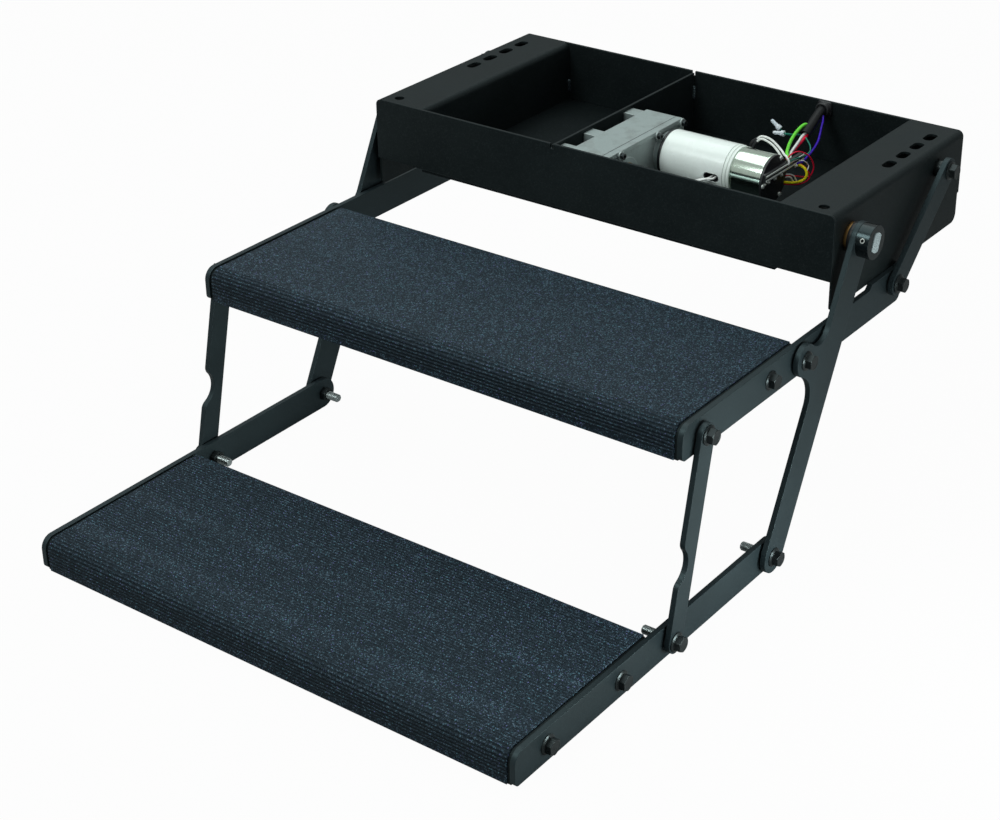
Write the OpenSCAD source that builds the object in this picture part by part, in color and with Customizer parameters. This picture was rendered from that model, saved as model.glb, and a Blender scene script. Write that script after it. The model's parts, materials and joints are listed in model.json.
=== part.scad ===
// Caravan pull-out step: a mounting box with an electric drive and two treads on folding links.
// The origin lies midway between the two front mounting holes, on top of the flanges.
// +X is to the right seen from the front, +Y goes back under the vehicle, and the treads reach toward -Y.

/* [Mounting box] */
// Width over the two side walls
box_w = 610; // [580:5:660]
// Depth over the front and rear walls
box_d = 298; // [290:2:330]
// Height of the outer side walls
side_h = 108; // [100:1:120]
// Height of the front and rear walls and of the inner walls
wall_h = 74; // [74:1:90]
// Width of each mounting flange
flange_w = 70; // [60:1:90]
// Thickness of the folded sheet
sheet_t = 3; // [2:0.5:4]
// Outer radius of the folds along a flange
fold_r = 7; // [5:0.5:10]
// Radius of the lower rear corner of a side wall
side_corner_r = 10; // [2:1:16]
// Radius of the lower front corner of a side wall
side_front_r = 4; // [1:1:10]
// Distance of the divider plate from the middle, to the left
divider_off = 50.5; // [46:0.5:60]
// Width of the notches over the divider plate
notch_w = 5; // [4:0.5:10]
// Depth of the notches over the divider plate
notch_h = 6; // [3:0.5:12]

/* [Mounting holes] */
// Diameter of the front holes and width of the slots
hole_d = 12; // [8:0.5:14]
// Distance of the holes from the outer face of the side wall
hole_in = 22; // [18:1:30]
// Distance of the front hole from the front of the box
hole_front = 17; // [14:1:24]
// Length of a slot
slot_l = 22; // [14:1:26]
// Number of slots in a flange
slot_n = 4; // [2:1:4]
// Distance from one slot to the next
slot_pitch = 32.5; // [28:0.5:36]
// Distance of the rearmost slot from the rear of the box
slot_rear = 39.5; // [30:0.5:50]

/* [Drive shaft] */
// Diameter of the shaft
shaft_d = 22; // [16:1:24]
// Width across the flats at the shaft's ends
shaft_flat = 14; // [10:0.5:16]
// Lean of the flats from upright
flat_lean = 20; // [0:5:40]
// Distance of the shaft from the front of the box
shaft_in = 36; // [34:1:44]
// Distance of the shaft below the flanges
shaft_drop = 34; // [32:1:38]
// Wall of the bearing bushes
bush_wall = 3; // [2:0.5:4]
// Diameter of a bush's collar
bush_collar_d = 35; // [32:1:40]
// Length of a bush inside the side wall
bush_in = 11; // [6:1:20]
// Diameter of the right arm's hub
hub_d = 37; // [34:1:40]
// Length of the right arm's hub
hub_l = 15; // [10:1:20]
// Length of shaft that shows past the hub
shaft_proud = 1; // [0.5:0.5:4]
// Diameter of the set screw in the hub
set_d = 6; // [4:1:8]

/* [Linkage] */
// Thickness of the arms and links
link_t = 6; // [4:0.5:8]
// Width of the arms
arm_w = 38; // [32:1:44]
// Diameter of an arm's lower end
arm_end_d = 36; // [30:1:42]
// Diameter of an arm's ear at the upper step
ear_d = 36; // [30:1:40]
// Radius of the hollow above an ear
ear_top_r = 22; // [14:1:30]
// Radius of the hollow below an ear
ear_low_r = 30; // [20:1:40]
// Width of the rear links
rear_link_w = 28; // [24:1:32]
// Width of the front links
front_link_w = 25; // [22:1:28]
// Depth of the notch in a front link
link_notch = 12; // [11:0.5:13]
// Radius of the notch in a front link
link_notch_r = 22; // [18:1:28]
// Radius of the edges of that notch
link_blend_r = 10; // [6:1:14]
// Distance of the ears in front of the shaft
arm_reach = 107; // [100:1:114]
// Distance of the rear pivots behind the shaft
rear_span = 200; // [190:1:210]
// Height of the rear pivots above the shaft
rear_lift = 10; // [0:1:14]
// Distance of the front links in front of the arms
rail_span = 189; // [180:1:198]
// Distance of the lower pivots in front of the upper ones
step_reach = 48; // [44:1:52]
// Height from the lower pivots to the upper ones
step_rise = 211; // [200:1:230]
// Clear height between a side wall and the upper rail
rail_gap = 4; // [3:0.5:10]

/* [Fasteners] */
// Diameter of the pivot bolts
pivot_d = 10; // [8:1:12]
// Diameter of the tread bolts
tread_bolt_d = 8; // [6:1:10]
// Width across the flats of the bolt heads and nuts
hex_w = 15; // [14:0.5:17]
// Diameter of a bolt's flange
bolt_flange_d = 21; // [18:0.5:23]
// Thickness of a bolt's flange
bolt_flange_t = 2; // [1.5:0.5:3]
// Height of a bolt's hexagon
hex_h = 7; // [5:0.5:9]
// Thickness of the nuts
nut_h = 8; // [6:0.5:10]
// Length of thread that shows past a nut
thread_proud = 7; // [2:1:10]
// Length of thread that shows past the nuts of the lower pivots
lower_proud = 16; // [4:1:18]
// Thickness of the pivot washers with their play
washer_t = 2.5; // [1.5:0.5:4]
// Diameter of the pivot washers
washer_d = 20; // [17:1:24]

/* [Steps] */
// Height of the rails
rail_h = 37; // [34:1:42]
// Thickness of the rails
rail_t = 6; // [4:0.5:8]
// Gap between a side wall and the rail outside it
rail_side_gap = 0.5; // [0.5:0.1:2]
// Length of the upper rail past its rear pivot
rail_tail = 23; // [18:1:30]
// Height by which the upper rail rises at the rear
rail_rise = 5.5; // [2:0.5:7]
// Length of the raised part in front of the rear pivot
rail_rise_l = 51; // [30:1:60]
// Depth of the upper tread
upper_depth = 218; // [200:1:230]
// Depth of the lower tread
lower_depth = 224; // [200:1:240]
// Length of the upper tread in front of its pivot
upper_nose = 33; // [30:1:40]
// Length of the lower tread in front of its pivot
lower_nose = 254; // [250:1:270]
// Radius of the treads' front edge
nose_r = 14; // [10:1:18]
// Radius of a rail's lower front corner
rail_low_r = 6; // [2:1:9]
// Thickness of the tread cover
cover_t = 2; // [1.5:0.25:3]
// Width of bare pan beside the cover
cover_in = 4; // [2:0.5:8]
// Height of the ribs on the cover
rib_h = 0.8; // [0.4:0.1:1.2]
// Distance from one rib to the next
rib_pitch = 4; // [3:0.25:6]
// Plain height at the foot of the nose
nose_plain = 8; // [4:1:12]
// Thickness of the tread pan's sheet
pan_t = 2.5; // [1.5:0.5:3]
// Height of the lip along the rear of a pan
pan_lip = 9; // [6:0.5:9]
// Width of the flange under a pan's nose
pan_hem = 12; // [8:1:20]
// Distance of the end plates from the rear of a pan
end_plate_in = 6; // [6:0.5:12]
// Distance of the rear tread bolts from the rear of a tread
bolt_rear_in = 54; // [48:1:60]
// Distance of the front tread bolts from the front of the lower tread
bolt_front_in = 50; // [36:1:60]

/* [Gearbox] */
// Gap between the front wall and the gearbox
case_gap = 2; // [1:0.5:4]
// Distance of the gearbox below the flanges
case_drop = 2; // [1:0.5:3]
// Height of the gearbox
case_h = 68; // [66:1:70]
// Length of the gearbox behind the motor's axis
case_tail = 35.5; // [32:0.5:40]
// Corner radius of the gearbox
case_r = 4; // [2:0.5:6]
// Length of the lugs toward the divider plate
lug_l = 22; // [16:1:26]
// Width of the lugs
lug_w = 18; // [15:1:22]
// Wall of the gearbox beside the divider plate
case_wall = 5; // [4:0.5:7]
// Distance of the split line from the lugs' root
case_split = 40; // [40:1:44]
// Thickness of the gearbox cover
case_cover_t = 9; // [8:0.5:12]
// Depth of the hollow inside the cover
case_cover_in = 3; // [3:0.5:4]
// Width of the raised rim of the cover
case_rim = 5; // [4:0.5:8]
// Depth of the recess inside the rim
case_recess = 2; // [1:0.5:3]
// Diameter of the boss around the shaft
shaft_boss_d = 46; // [40:1:50]
// Height of the boss around the shaft
shaft_boss_h = 4; // [2:0.5:8]
// Height of the seat of the motor
motor_seat_h = 8; // [4:0.5:12]
// Diameter of the seat of the motor
motor_seat_d = 52; // [44:1:58]
// Diameter of the cover screws
case_screw_d = 4; // [3:0.5:5]
// Diameter of the cover screws' heads and of half their bosses
case_head_d = 7; // [6:0.5:8]
// Height of the cover screws' heads
case_head_h = 4; // [2:0.5:6]
// Distance of the cover screws from the edge
case_screw_in = 5; // [5:0.5:6]
// Diameter of the bolts in the lugs
lug_bolt_d = 8; // [6:1:8]

/* [Gears] */
// Teeth of the three pinions
pinion_n = 12; // [12:1:14]
// Teeth of the final gear on the shaft
final_n = 26; // [24:1:27]
// Teeth of the second wheel
second_n = 32; // [28:1:34]
// Teeth of the first wheel
first_n = 43; // [38:1:44]
// Tooth module of the final gear
final_m = 1.75; // [1.6:0.05:1.8]
// Tooth module of the second wheel
second_m = 1.25; // [1.1:0.05:1.3]
// Tooth module of the first wheel
first_m = 1; // [0.9:0.05:1.05]
// Face width of the final gear
final_w = 14; // [10:0.5:14]
// Face width of the second wheel
second_w = 8; // [6:0.5:9]
// Face width of the first wheel
first_w = 6; // [5:0.5:6]
// Diameter of the axles
axle_d = 6; // [5:0.5:6]
// Diameter of the sleeve beside the first wheel
sleeve_d = 13; // [11:0.5:14]

/* [Motor] */
// Diameter of the motor
motor_d = 59; // [52:1:60]
// Length of the motor's case
motor_l = 83; // [70:1:90]
// Wall of the motor's case
motor_wall = 2.5; // [2:0.25:3]
// Length of the white ring
ring_l = 8; // [6:0.5:12]
// Diameter of the bright can
can_d = 56; // [48:1:58]
// Length of the bright can
can_l = 39; // [34:1:44]
// Thickness of the black end plate
plate_t = 3; // [2:0.5:4]
// Diameter of the motor's shaft
rotor_shaft_d = 6; // [5:0.5:6]
// Diameter of the armature
rotor_d = 40; // [34:1:42]
// Length of the armature
rotor_l = 50; // [40:1:52]
// Length of the lead slot in the motor's case
lead_slot_l = 21; // [16:1:22]
// Height of the lead slot in the motor's case
lead_slot_h = 10.5; // [8:0.5:11]
// Height of the terminal bar
bar_h = 10; // [8:0.5:10]
// Thickness of the terminal bar
bar_t = 4; // [3:0.5:6]
// Length of the terminal bar
bar_l = 71; // [68:1:76]
// Diameter of the screws in the end plate
plate_screw_d = 3; // [2:0.5:4]

/* [Wiring] */
// Diameter of the thick wires
thick_d = 3.2; // [2.4:0.2:3.4]
// Diameter of the thin wires
thin_d = 2; // [1.2:0.2:2.2]
// Diameter of the harness sheath
sheath_d = 12; // [11:0.5:12.5]
// Diameter of the crimp caps
crimp_d = 7; // [5:0.5:8]
// Length of the crimp caps
crimp_l = 15; // [10:1:18]

/* [Clearances] */
// Radial clearance of a running fit
run_clear = 0.05; // [0.02:0.01:0.1]
// Radial clearance of a fixed pin or bolt in its hole
seat_clear = 0.02; // [0.01:0.01:0.05]
// Radial clearance at the pivots where the linkage is left open
open_clear = 0.3; // [0.2:0.05:0.5]
// Side play of the arms and links
side_play = 0.3; // [0.2:0.05:0.5]
// Clear space around a gear inside the gearbox
gear_clear = 0.6; // [0.4:0.1:1]
// Gap between a wire's end and what it meets
wire_gap = 0.3; // [0.2:0.1:0.5]
// Gap at the seams between the strips and sheets of a tread
seam = 0.05; // [0.02:0.01:0.1]

/* [Hidden] */
$fn = 64;

// Small overcut for cuts that must pass a face
cut = 1;

// Planes across the width, on the right side
wall_x = box_w / 2;
bay_x = wall_x - flange_w;
rail_x = wall_x + rail_side_gap;
link_x = rail_x + rail_t + washer_t;
head_x = link_x + link_t + side_play;
hub_x = link_x + link_t + hub_l;

// Planes from front to rear
front_y = -hole_front;
rear_y = front_y + box_d;

// Pivots as [y, z] points: two parallelograms on each side
shaft_at = [front_y + shaft_in, -shaft_drop];
upper_top = -side_h - rail_gap;
ear_at = [shaft_at[0] - arm_reach, upper_top - rail_h / 2];
rear_at = shaft_at + [rear_span, rear_lift];
tail_at = ear_at + [rear_span, rear_lift];
front_at = ear_at - [rail_span, 0];
arm_end_at = ear_at - [step_reach, step_rise];
link_end_at = front_at - [step_reach, step_rise];

// Steps
upper_front = front_at[0] - upper_nose;
upper_rear = upper_front + upper_depth;
lower_top = upper_top - step_rise;
lower_front = link_end_at[0] - lower_nose;
lower_rear = lower_front + lower_depth;
upper_bolt_at = [upper_rear - bolt_rear_in, ear_at[1]];
lower_bolts_at = [[lower_rear - bolt_rear_in, arm_end_at[1]], [lower_front + bolt_front_in, arm_end_at[1]]];
// A front link passes the rear tread bolt of the lower step when the steps are folded
notch_along = norm([step_reach, step_rise]) -
    (link_end_at[0] - lower_bolts_at[0][0]) * step_rise / norm([step_reach, step_rise]);

// Gear train: all the axes lie in one level plane
final_gap = final_m * (final_n + pinion_n) / 2;
second_gap = second_m * (second_n + pinion_n) / 2;
first_gap = first_m * (first_n + pinion_n) / 2;
second_at = shaft_at + [final_gap, 0];
first_at = second_at + [second_gap, 0];
motor_at = first_at + [first_gap, 0];
pressure_angle = 25;
addendum = 0.8;
dedendum = 1.05;
tooth_play = 0.06;
flank_steps = 3;

// Gearbox planes across the width
lug_x = -divider_off + sheet_t / 2;
case_x = lug_x + lug_l;
hollow_x = case_x + case_wall;
split_x = case_x + case_split;
lid_in_x = split_x + case_cover_in;
lid_x = split_x + case_cover_t;
axle_from = hollow_x - case_wall / 2;
axle_to = split_x + (case_cover_in + case_cover_t) / 2;
gear_side = 2;
// The second wheel's sleeve passes the tips of the first wheel
second_sleeve_d = 2 * (first_gap - tip_r(first_m, first_n) - gear_clear);
final_x = hollow_x + gear_side;
second_x = final_x + final_w + gear_side;
second_end_x = second_x + second_w;
first_x = second_end_x + gear_side;
case_top = -case_drop;
case_low = case_top - case_h;
case_front = front_y + sheet_t + case_gap;
case_rear = motor_at[0] + case_tail;
case_screws_at = [
    for (y = [shaft_at[0] - case_head_d, first_at[0] + case_head_d, case_rear - case_screw_in])
        for (z = [case_top - case_screw_in, case_low + case_screw_in])
            [y, z]
];
lugs_y = [case_front + lug_w / 2, second_at[0], case_rear - lug_w / 2];
lug_hole_d = lug_bolt_d + 2 * seat_clear;
case_bush_d = shaft_d + 4 * bush_wall;

// Motor planes across the width
motor_x = lid_x + motor_seat_h;
ring_x = motor_x + motor_l;
can_x = ring_x + ring_l;
plate_x = can_x + can_l;
bar_x = plate_x + plate_t;
bar_top = shaft_at[1] + 14.5;
bar_front = motor_at[0] - 26;
plate_screw_turns = [60, 180, 300];
plate_screw_r = can_d / 2 - plate_screw_d;
lead_slot_x = ring_x - 14;

// Wiring: the harness comes from a clamp on the rear wall. Routes are measured from a line behind the motor.
route_back = 24.75;
route_from = [0, motor_at[0] + route_back, 0];
strip_t = 1.2;
strip_h = 2;
strip_x = bar_x + bar_t + strip_t + wire_gap;
clamp_at = [131, -9];
clamp_w = 18;
clamp_l = 9;
clamp_mouth = [clamp_at[0], rear_y - sheet_t - clamp_l / 2, clamp_at[1]] - route_from;
sheath_end = [141, 80, -20];
sheath_way = sheath_end - clamp_mouth;
sheath_route = [
    clamp_mouth,
    clamp_mouth + [0, 0.28 * sheath_way[1], 0],
    clamp_mouth + [0.7 * sheath_way[0], 0.67 * sheath_way[1], 0.9 * sheath_way[2]],
    sheath_end - [0, 0.2 * sheath_way[1], 0],
    sheath_end
];
lead_a_route = [
    [99, -51, -36.5], [97, -57, -37.5], [88, -60.5, -40], [78, -61.5, -46], [72, -60, -56], [74, -52, -66],
    [82, -30, -70.5], [88, -8, -70.5], [102, 16, -58], [105, 20, -36], [107.5, 18.5, -18], [115, 18, -10.5],
    [126, 18, -6], [138, 18, -8], [147.5, 18, -15], [154, 16.5, -22], [bar_x - 5, 16, -24.5],
    [bar_x - wire_gap, 16, -24.5]
];
lead_b_route = [
    [104, -51, -36], [103, -57, -36.5], [95, -62.5, -37.5], [86, -66, -42], [78, -66.5, -54], [80, -57, -66],
    [90, -30, -70.5], [96, -8, -70.5], [108, 11, -58], [111, 14.5, -36], [113, 14, -19.5], [118.5, 13.5, -13],
    [127, 13.5, -9.5], [137, 13, -11.5], [145.5, 12, -17.5], [152, 10, -22.5], [bar_x - 5, 9.5, -24.5],
    [bar_x - wire_gap, 9.5, -24.5]
];
green_route = [
    [139, 80 - wire_gap, -16.4], [139, 74, -16.4], [139.5, 62, -12.5], [142, 50, -11], [150, 30, -11],
    [159, 10, -9], [165, -4, -9.5], [165.5, -8, -14], [165.5, -8, bar_top + wire_gap]
];
white_route = [
    [143, 80 - wire_gap, -16.4], [143, 74, -16.4], [146, 64, -15], [157, 40, -12], [164, 13, -12],
    [165, 3, -15], [165, 3, bar_top + wire_gap]
];
red_route = [
    [145.2, 80 - wire_gap, -20], [145.2, 74, -20], [150, 64, -19.5], [162, 46, -16], [167, 27, -13],
    [165, 17.5, -15], [165, 17.5, bar_top + wire_gap]
];
pink_route = [
    [strip_x, 14, -21.5], [strip_x + 3.5, 14, -21.5], [174.5, 15.5, -17], [180, 17, -14.5], [187, 18, -22],
    [185.5, 17.5, -34], [177, 15, -42.5], [171, 5, -45], [bar_x + 5, 0, -45], [bar_x + wire_gap, 0, -45]
];
// The purple wire leaves the clamp beside the sheath
purple_from = clamp_mouth + [7.2, -clamp_l / 2 - wire_gap, -4.2];
purple_mid = [163, 64, -28];
purple_way = purple_mid - purple_from;
purple_shares = [[0, 0, 0], [0, 0.07, 0], [0.2, 0.2, 0.13], [0.48, 0.44, 0.46], [0.74, 0.62, 0.73]];
purple_route = concat(
    [for (share = purple_shares) [for (i = [0 : 2]) purple_from[i] + share[i] * purple_way[i]]],
    [purple_mid, [171, 42, -29], [177, 26, -28], [175, 17.5, -27], [strip_x + 3, 16, -27], [strip_x, 16, -27]]
);
yellow_route = [
    [strip_x, 3, -27], [180, 4, -28], [188, -6, -33], [184, -20, -38], [174, -22, -38],
    [bar_x + wire_gap, -22, -38]
];
crimps_at = [[110.9, 78, -18.4], [123.9, 65, -16.7]];
crimp_turn = 180;
crimp_lifts = [36, -7];
function crimp_way(i) =
    [cos(crimp_lifts[i]) * cos(crimp_turn), cos(crimp_lifts[i]) * sin(crimp_turn), sin(crimp_lifts[i])];
teal_a_route = [
    [139, 80 - wire_gap, -23.6], [139, 75, -23.6], [131, 69, -26], [122, 72, -26.5],
    crimps_at[0] - 6 * crimp_way(0), crimps_at[0]
];
teal_b_route = [
    [136.8, 80 - wire_gap, -20], [136.8, 75, -20], [135.2, 69, -17.5],
    crimps_at[1] - 6 * crimp_way(1), crimps_at[1]
];

// Colours as seen
steel = "#26272b";
bolt_black = "#34343a";
zinc = "#c4c3bd";
bronze = "#a9793c";
alloy = "#a5a7a6";
gear_steel = "#8d9096";
cover_grey = "#3d4856";

// General shapes

// An outline in Y and Z, given thickness t along X from x
module along_x(x, t) {
    translate([x, 0, 0])
        rotate([90, 0, 90])
            linear_extrude(t)
                children();
}

// An outline in X and Z, given thickness t along Y from y
module along_y(y, t) {
    translate([0, y + t, 0])
        rotate([90, 0, 0])
            linear_extrude(t)
                children();
}

// A round bar along X from x, on the axis at [y, z]
module rod(x, l, d, at) {
    translate([x, at[0], at[1]])
        rotate([0, 90, 0])
            cylinder(d = d, h = l);
}

// A hexagonal bar along X from x, w across its flats
module hex_rod(x, l, w, at) {
    translate([x, at[0], at[1]])
        rotate([0, 90, 0])
            cylinder(d = w / cos(30), h = l, $fn = 6);
}

// The same shape on the right and on the left
module both_sides() {
    children();
    mirror([1, 0, 0]) children();
}

// The shape on one side: 1 is right and -1 is left
module on_side(side) {
    if (side > 0) children();
    else mirror([1, 0, 0]) children();
}

// What a rounded corner loses: the sides of the shape run from the corner along dir
module corner_waste(at, r, dir) {
    translate(at)
        mirror([dir[0] < 0 ? 1 : 0, 0])
            mirror([0, dir[1] < 0 ? 1 : 0])
                difference() {
                    translate([-cut, -cut]) square(r + cut);
                    translate([r, r]) circle(r);
                }
}

// A flat bar with round ends, between two points
module bar_outline(from, to, w) {
    way = to - from;
    translate((from + to) / 2)
        rotate(atan2(way[1], way[0]))
            slot_outline(norm(way) + w, w);
}

// A slot with round ends along the first direction
module slot_outline(l, w) {
    square([l - w, w], center = true);
    for (s = [-1, 1]) translate([s * (l - w) / 2, 0]) circle(d = w);
}

// A bolt on the right side: its flange rests at x and its shank reaches in to x_end
module flange_bolt(x, x_end, d, at) {
    rod(x, bolt_flange_t, bolt_flange_d, at);
    hex_rod(x + bolt_flange_t, hex_h, hex_w, at);
    rod(x_end, x - x_end, d, at);
}

// A nut that rests with its outer face at x
module nut(x, d, at) {
    difference() {
        hex_rod(x - nut_h, nut_h, hex_w, at);
        rod(x - nut_h - cut, nut_h + 2 * cut, d + 2 * seat_clear, at);
    }
}

// A ring along X
module ring(x, l, d_out, d_in, at) {
    difference() {
        rod(x, l, d_out, at);
        rod(x - cut, l + 2 * cut, d_in, at);
    }
}

// Gear teeth

// Angle of an involute at its pressure angle a, in degrees
function involute(a) = tan(a) * 180 / PI - a;

// Half the angle that a tooth takes at radius r
function half_tooth(m, n, r) =
    let (base = m * n / 2 * cos(pressure_angle))
    90 / n - tooth_play / (m * n / 2) * 180 / PI * m
    + involute(pressure_angle) - involute(acos(min(1, base / r)));

// One tooth as [radius, angle] pairs, from its left foot to its right foot
function tooth(m, n) =
    let (foot = m * (n / 2 - dedendum))
    let (tip = m * (n / 2 + addendum))
    let (base = max(foot, m * n / 2 * cos(pressure_angle)))
    let (radii = [for (i = [0 : flank_steps]) base + (tip - base) * i / flank_steps])
    concat(
        [[foot, -half_tooth(m, n, base)]],
        [for (r = radii) [r, -half_tooth(m, n, r)]],
        [for (i = [flank_steps : -1 : 0]) [radii[i], half_tooth(m, n, radii[i])]],
        [[foot, half_tooth(m, n, base)]]
    );

// A toothed outline with a tooth toward the first direction
module gear_outline(m, n) {
    polygon([
        for (i = [0 : n - 1])
            for (p = tooth(m, n))
                p[0] * [cos(p[1] + 360 * i / n), sin(p[1] + 360 * i / n)]
    ]);
}

// A toothed wheel along X, with a tooth toward the rear
module wheel(x, w, m, n, at) {
    along_x(x, w) translate(at) gear_outline(m, n);
}

// A pinion along X, with a tooth space toward the front
module pinion(x, w, m, at) {
    along_x(x, w)
        translate(at)
            rotate(180 + 180 / pinion_n)
                gear_outline(m, pinion_n);
}

// Tip radius of a wheel
function tip_r(m, n) = m * (n / 2 + addendum);

// Wires

function unit(v) = v / norm(v);

// A smooth curve through the route's points, with steps points for each stretch
function smooth(route, steps) =
    let (last = len(route) - 1)
    concat(
        [
            for (i = [0 : last - 1])
                let (before = route[max(i - 1, 0)])
                let (after = route[min(i + 2, last)])
                let (way_in = (route[i + 1] - before) / (i == 0 ? 1 : 2))
                let (way_out = (after - route[i]) / (i == last - 1 ? 1 : 2))
                for (k = [0 : steps - 1])
                    let (t = k / steps)
                    route[i] * (2 * pow(t, 3) - 3 * pow(t, 2) + 1)
                    + way_in * (pow(t, 3) - 2 * pow(t, 2) + t)
                    + route[i + 1] * (3 * pow(t, 2) - 2 * pow(t, 3))
                    + way_out * (pow(t, 3) - pow(t, 2))
        ],
        [route[last]]
    );

// Directions along a line of points
function headings(points) =
    [for (i = [0 : len(points) - 1]) unit(points[min(i + 1, len(points) - 1)] - points[max(i - 1, 0)])];

// Side directions that turn with the line but never spin about it
function sides(ways, side, i = 0) =
    i == len(ways) ? [] :
    let (next = unit(side - ways[i] * (side * ways[i])))
    concat([next], sides(ways, next, i + 1));

// A tube of diameter d along the route
module tube(route, d, steps = 1, edges = 8) {
    points = smooth(route, steps);
    ways = headings(points);
    first_side = cross(ways[0], abs(ways[0][2]) < 0.8 ? [0, 0, 1] : [1, 0, 0]);
    side = sides(ways, unit(first_side));
    rings = len(points);
    vertices = [
        for (i = [0 : rings - 1])
            for (k = [0 : edges - 1])
                points[i]
                    + d / 2 * side[i] * cos(360 * k / edges)
                    + d / 2 * cross(ways[i], side[i]) * sin(360 * k / edges)
    ];
    skin = [
        for (i = [0 : rings - 2])
            for (k = [0 : edges - 1])
                let (a = i * edges + k)
                let (b = i * edges + (k + 1) % edges)
                each [[a, a + edges, b], [b, a + edges, b + edges]]
    ];
    last = (rings - 1) * edges;
    ends = [for (k = [1 : edges - 2]) each [[0, k, k + 1], [last, last + k + 1, last + k]]];
    translate(route_from) polyhedron(points = vertices, faces = concat(skin, ends));
}

// Mounting box

module channel_outline() {
    difference() {
        translate([bay_x, -side_h]) square([flange_w, side_h]);
        corner_waste([wall_x, 0], fold_r, [-1, -1]);
        corner_waste([bay_x, 0], fold_r, [1, -1]);
        difference() {
            translate([bay_x + sheet_t, -side_h - cut])
                square([flange_w - 2 * sheet_t, side_h + cut - sheet_t]);
            corner_waste([wall_x - sheet_t, -sheet_t], fold_r - sheet_t, [-1, -1]);
            corner_waste([bay_x + sheet_t, -sheet_t], fold_r - sheet_t, [1, -1]);
        }
        translate([bay_x - cut, -side_h - cut]) square([2 * sheet_t + cut, side_h - wall_h + cut]);
    }
}

module side_channel(side) {
    color(steel)
        on_side(side)
            difference() {
                along_y(front_y + sheet_t, box_d - 2 * sheet_t) channel_outline();
                translate([wall_x - hole_in, front_y + hole_front, -sheet_t - cut])
                    cylinder(d = hole_d, h = sheet_t + 2 * cut);
                for (i = [0 : slot_n - 1])
                    translate([wall_x - hole_in, rear_y - slot_rear - i * slot_pitch, -sheet_t - cut])
                        linear_extrude(sheet_t + 2 * cut)
                            rotate(90) slot_outline(slot_l, hole_d);
                rod(wall_x - 2 * sheet_t, 3 * sheet_t, shaft_d + 2 * bush_wall + 2 * seat_clear, shaft_at);
                rod(bay_x - sheet_t, 3 * sheet_t, shaft_d + 2 * bush_wall, shaft_at);
                rod(wall_x - 2 * sheet_t, 3 * sheet_t, pivot_d + 2 * seat_clear, rear_at);
                along_x(wall_x - 2 * sheet_t, 3 * sheet_t) {
                    corner_waste([rear_y - sheet_t, -side_h], side_corner_r, [-1, 1]);
                    corner_waste([front_y + sheet_t, -side_h], side_front_r, [1, 1]);
                }
            }
}

// A cross wall of the box, with its upper corners rounded like the flanges
module cross_wall(y, h) {
    along_y(y, sheet_t)
        difference() {
            translate([-wall_x, -h]) square([box_w, h]);
            corner_waste([wall_x, 0], fold_r, [-1, -1]);
            corner_waste([-wall_x, 0], fold_r, [1, -1]);
            translate([-divider_off - notch_w / 2, -notch_h]) square([notch_w, notch_h + cut]);
        }
}

module front_wall() {
    color(steel) cross_wall(front_y, wall_h);
}

module rear_wall() {
    color(steel)
        difference() {
            cross_wall(rear_y - sheet_t, wall_h);
            translate([clamp_at[0], rear_y + cut, clamp_at[1]])
                rotate([90, 0, 0])
                    cylinder(d = sheath_d, h = sheet_t + 2 * cut);
        }
}

module floor_pan() {
    color(steel)
        translate([-bay_x - sheet_t, front_y, -wall_h - sheet_t])
            cube([2 * (bay_x + sheet_t), box_d, sheet_t]);
}

module divider_plate() {
    color(steel)
        difference() {
            translate([-divider_off - sheet_t / 2, front_y + sheet_t, -wall_h])
                cube([sheet_t, box_d - 2 * sheet_t, wall_h - case_drop]);
            rod(-divider_off - sheet_t, 2 * sheet_t, shaft_d + 2 * bush_wall, shaft_at);
            for (y = lugs_y)
                rod(-divider_off - sheet_t, 2 * sheet_t, lug_hole_d, [y, case_top - case_h / 2]);
        }
}

module shaft_bushes() {
    color(bronze)
        both_sides()
            difference() {
                union() {
                    rod(wall_x - sheet_t - bush_in, sheet_t + bush_in, shaft_d + 2 * bush_wall, shaft_at);
                    rod(wall_x, link_x - side_play - wall_x, bush_collar_d, shaft_at);
                }
                rod(wall_x - box_w / 4, box_w / 2, shaft_d + 2 * run_clear, shaft_at);
            }
}

module rear_pivot_bolts() {
    color(bolt_black)
        both_sides()
            flange_bolt(head_x, wall_x - sheet_t - nut_h - thread_proud, pivot_d, rear_at);
}

// Nuts inside the side walls, and spacers between the walls and the links
module rear_pivot_fittings() {
    color(zinc)
        both_sides() {
            nut(wall_x - sheet_t, pivot_d, rear_at);
            ring(wall_x, link_x - side_play - wall_x, washer_d, pivot_d + 2 * seat_clear, rear_at);
        }
}

// Gearbox

module case_outline() {
    difference() {
        translate([case_front, case_low]) square([case_rear - case_front, case_h]);
        corner_waste([case_front, case_low], case_r, [1, 1]);
        corner_waste([case_front, case_top], case_r, [1, -1]);
        corner_waste([case_rear, case_low], case_r, [-1, 1]);
        corner_waste([case_rear, case_top], case_r, [-1, -1]);
    }
}

// The hollow follows the gears
module gear_hollow() {
    translate(shaft_at) circle(tip_r(final_m, final_n) + gear_clear);
    translate(second_at) circle(tip_r(second_m, second_n) + gear_clear);
    translate(first_at) circle(tip_r(first_m, first_n) + gear_clear);
    translate(motor_at) circle(tip_r(first_m, pinion_n) + gear_clear);
}

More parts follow.
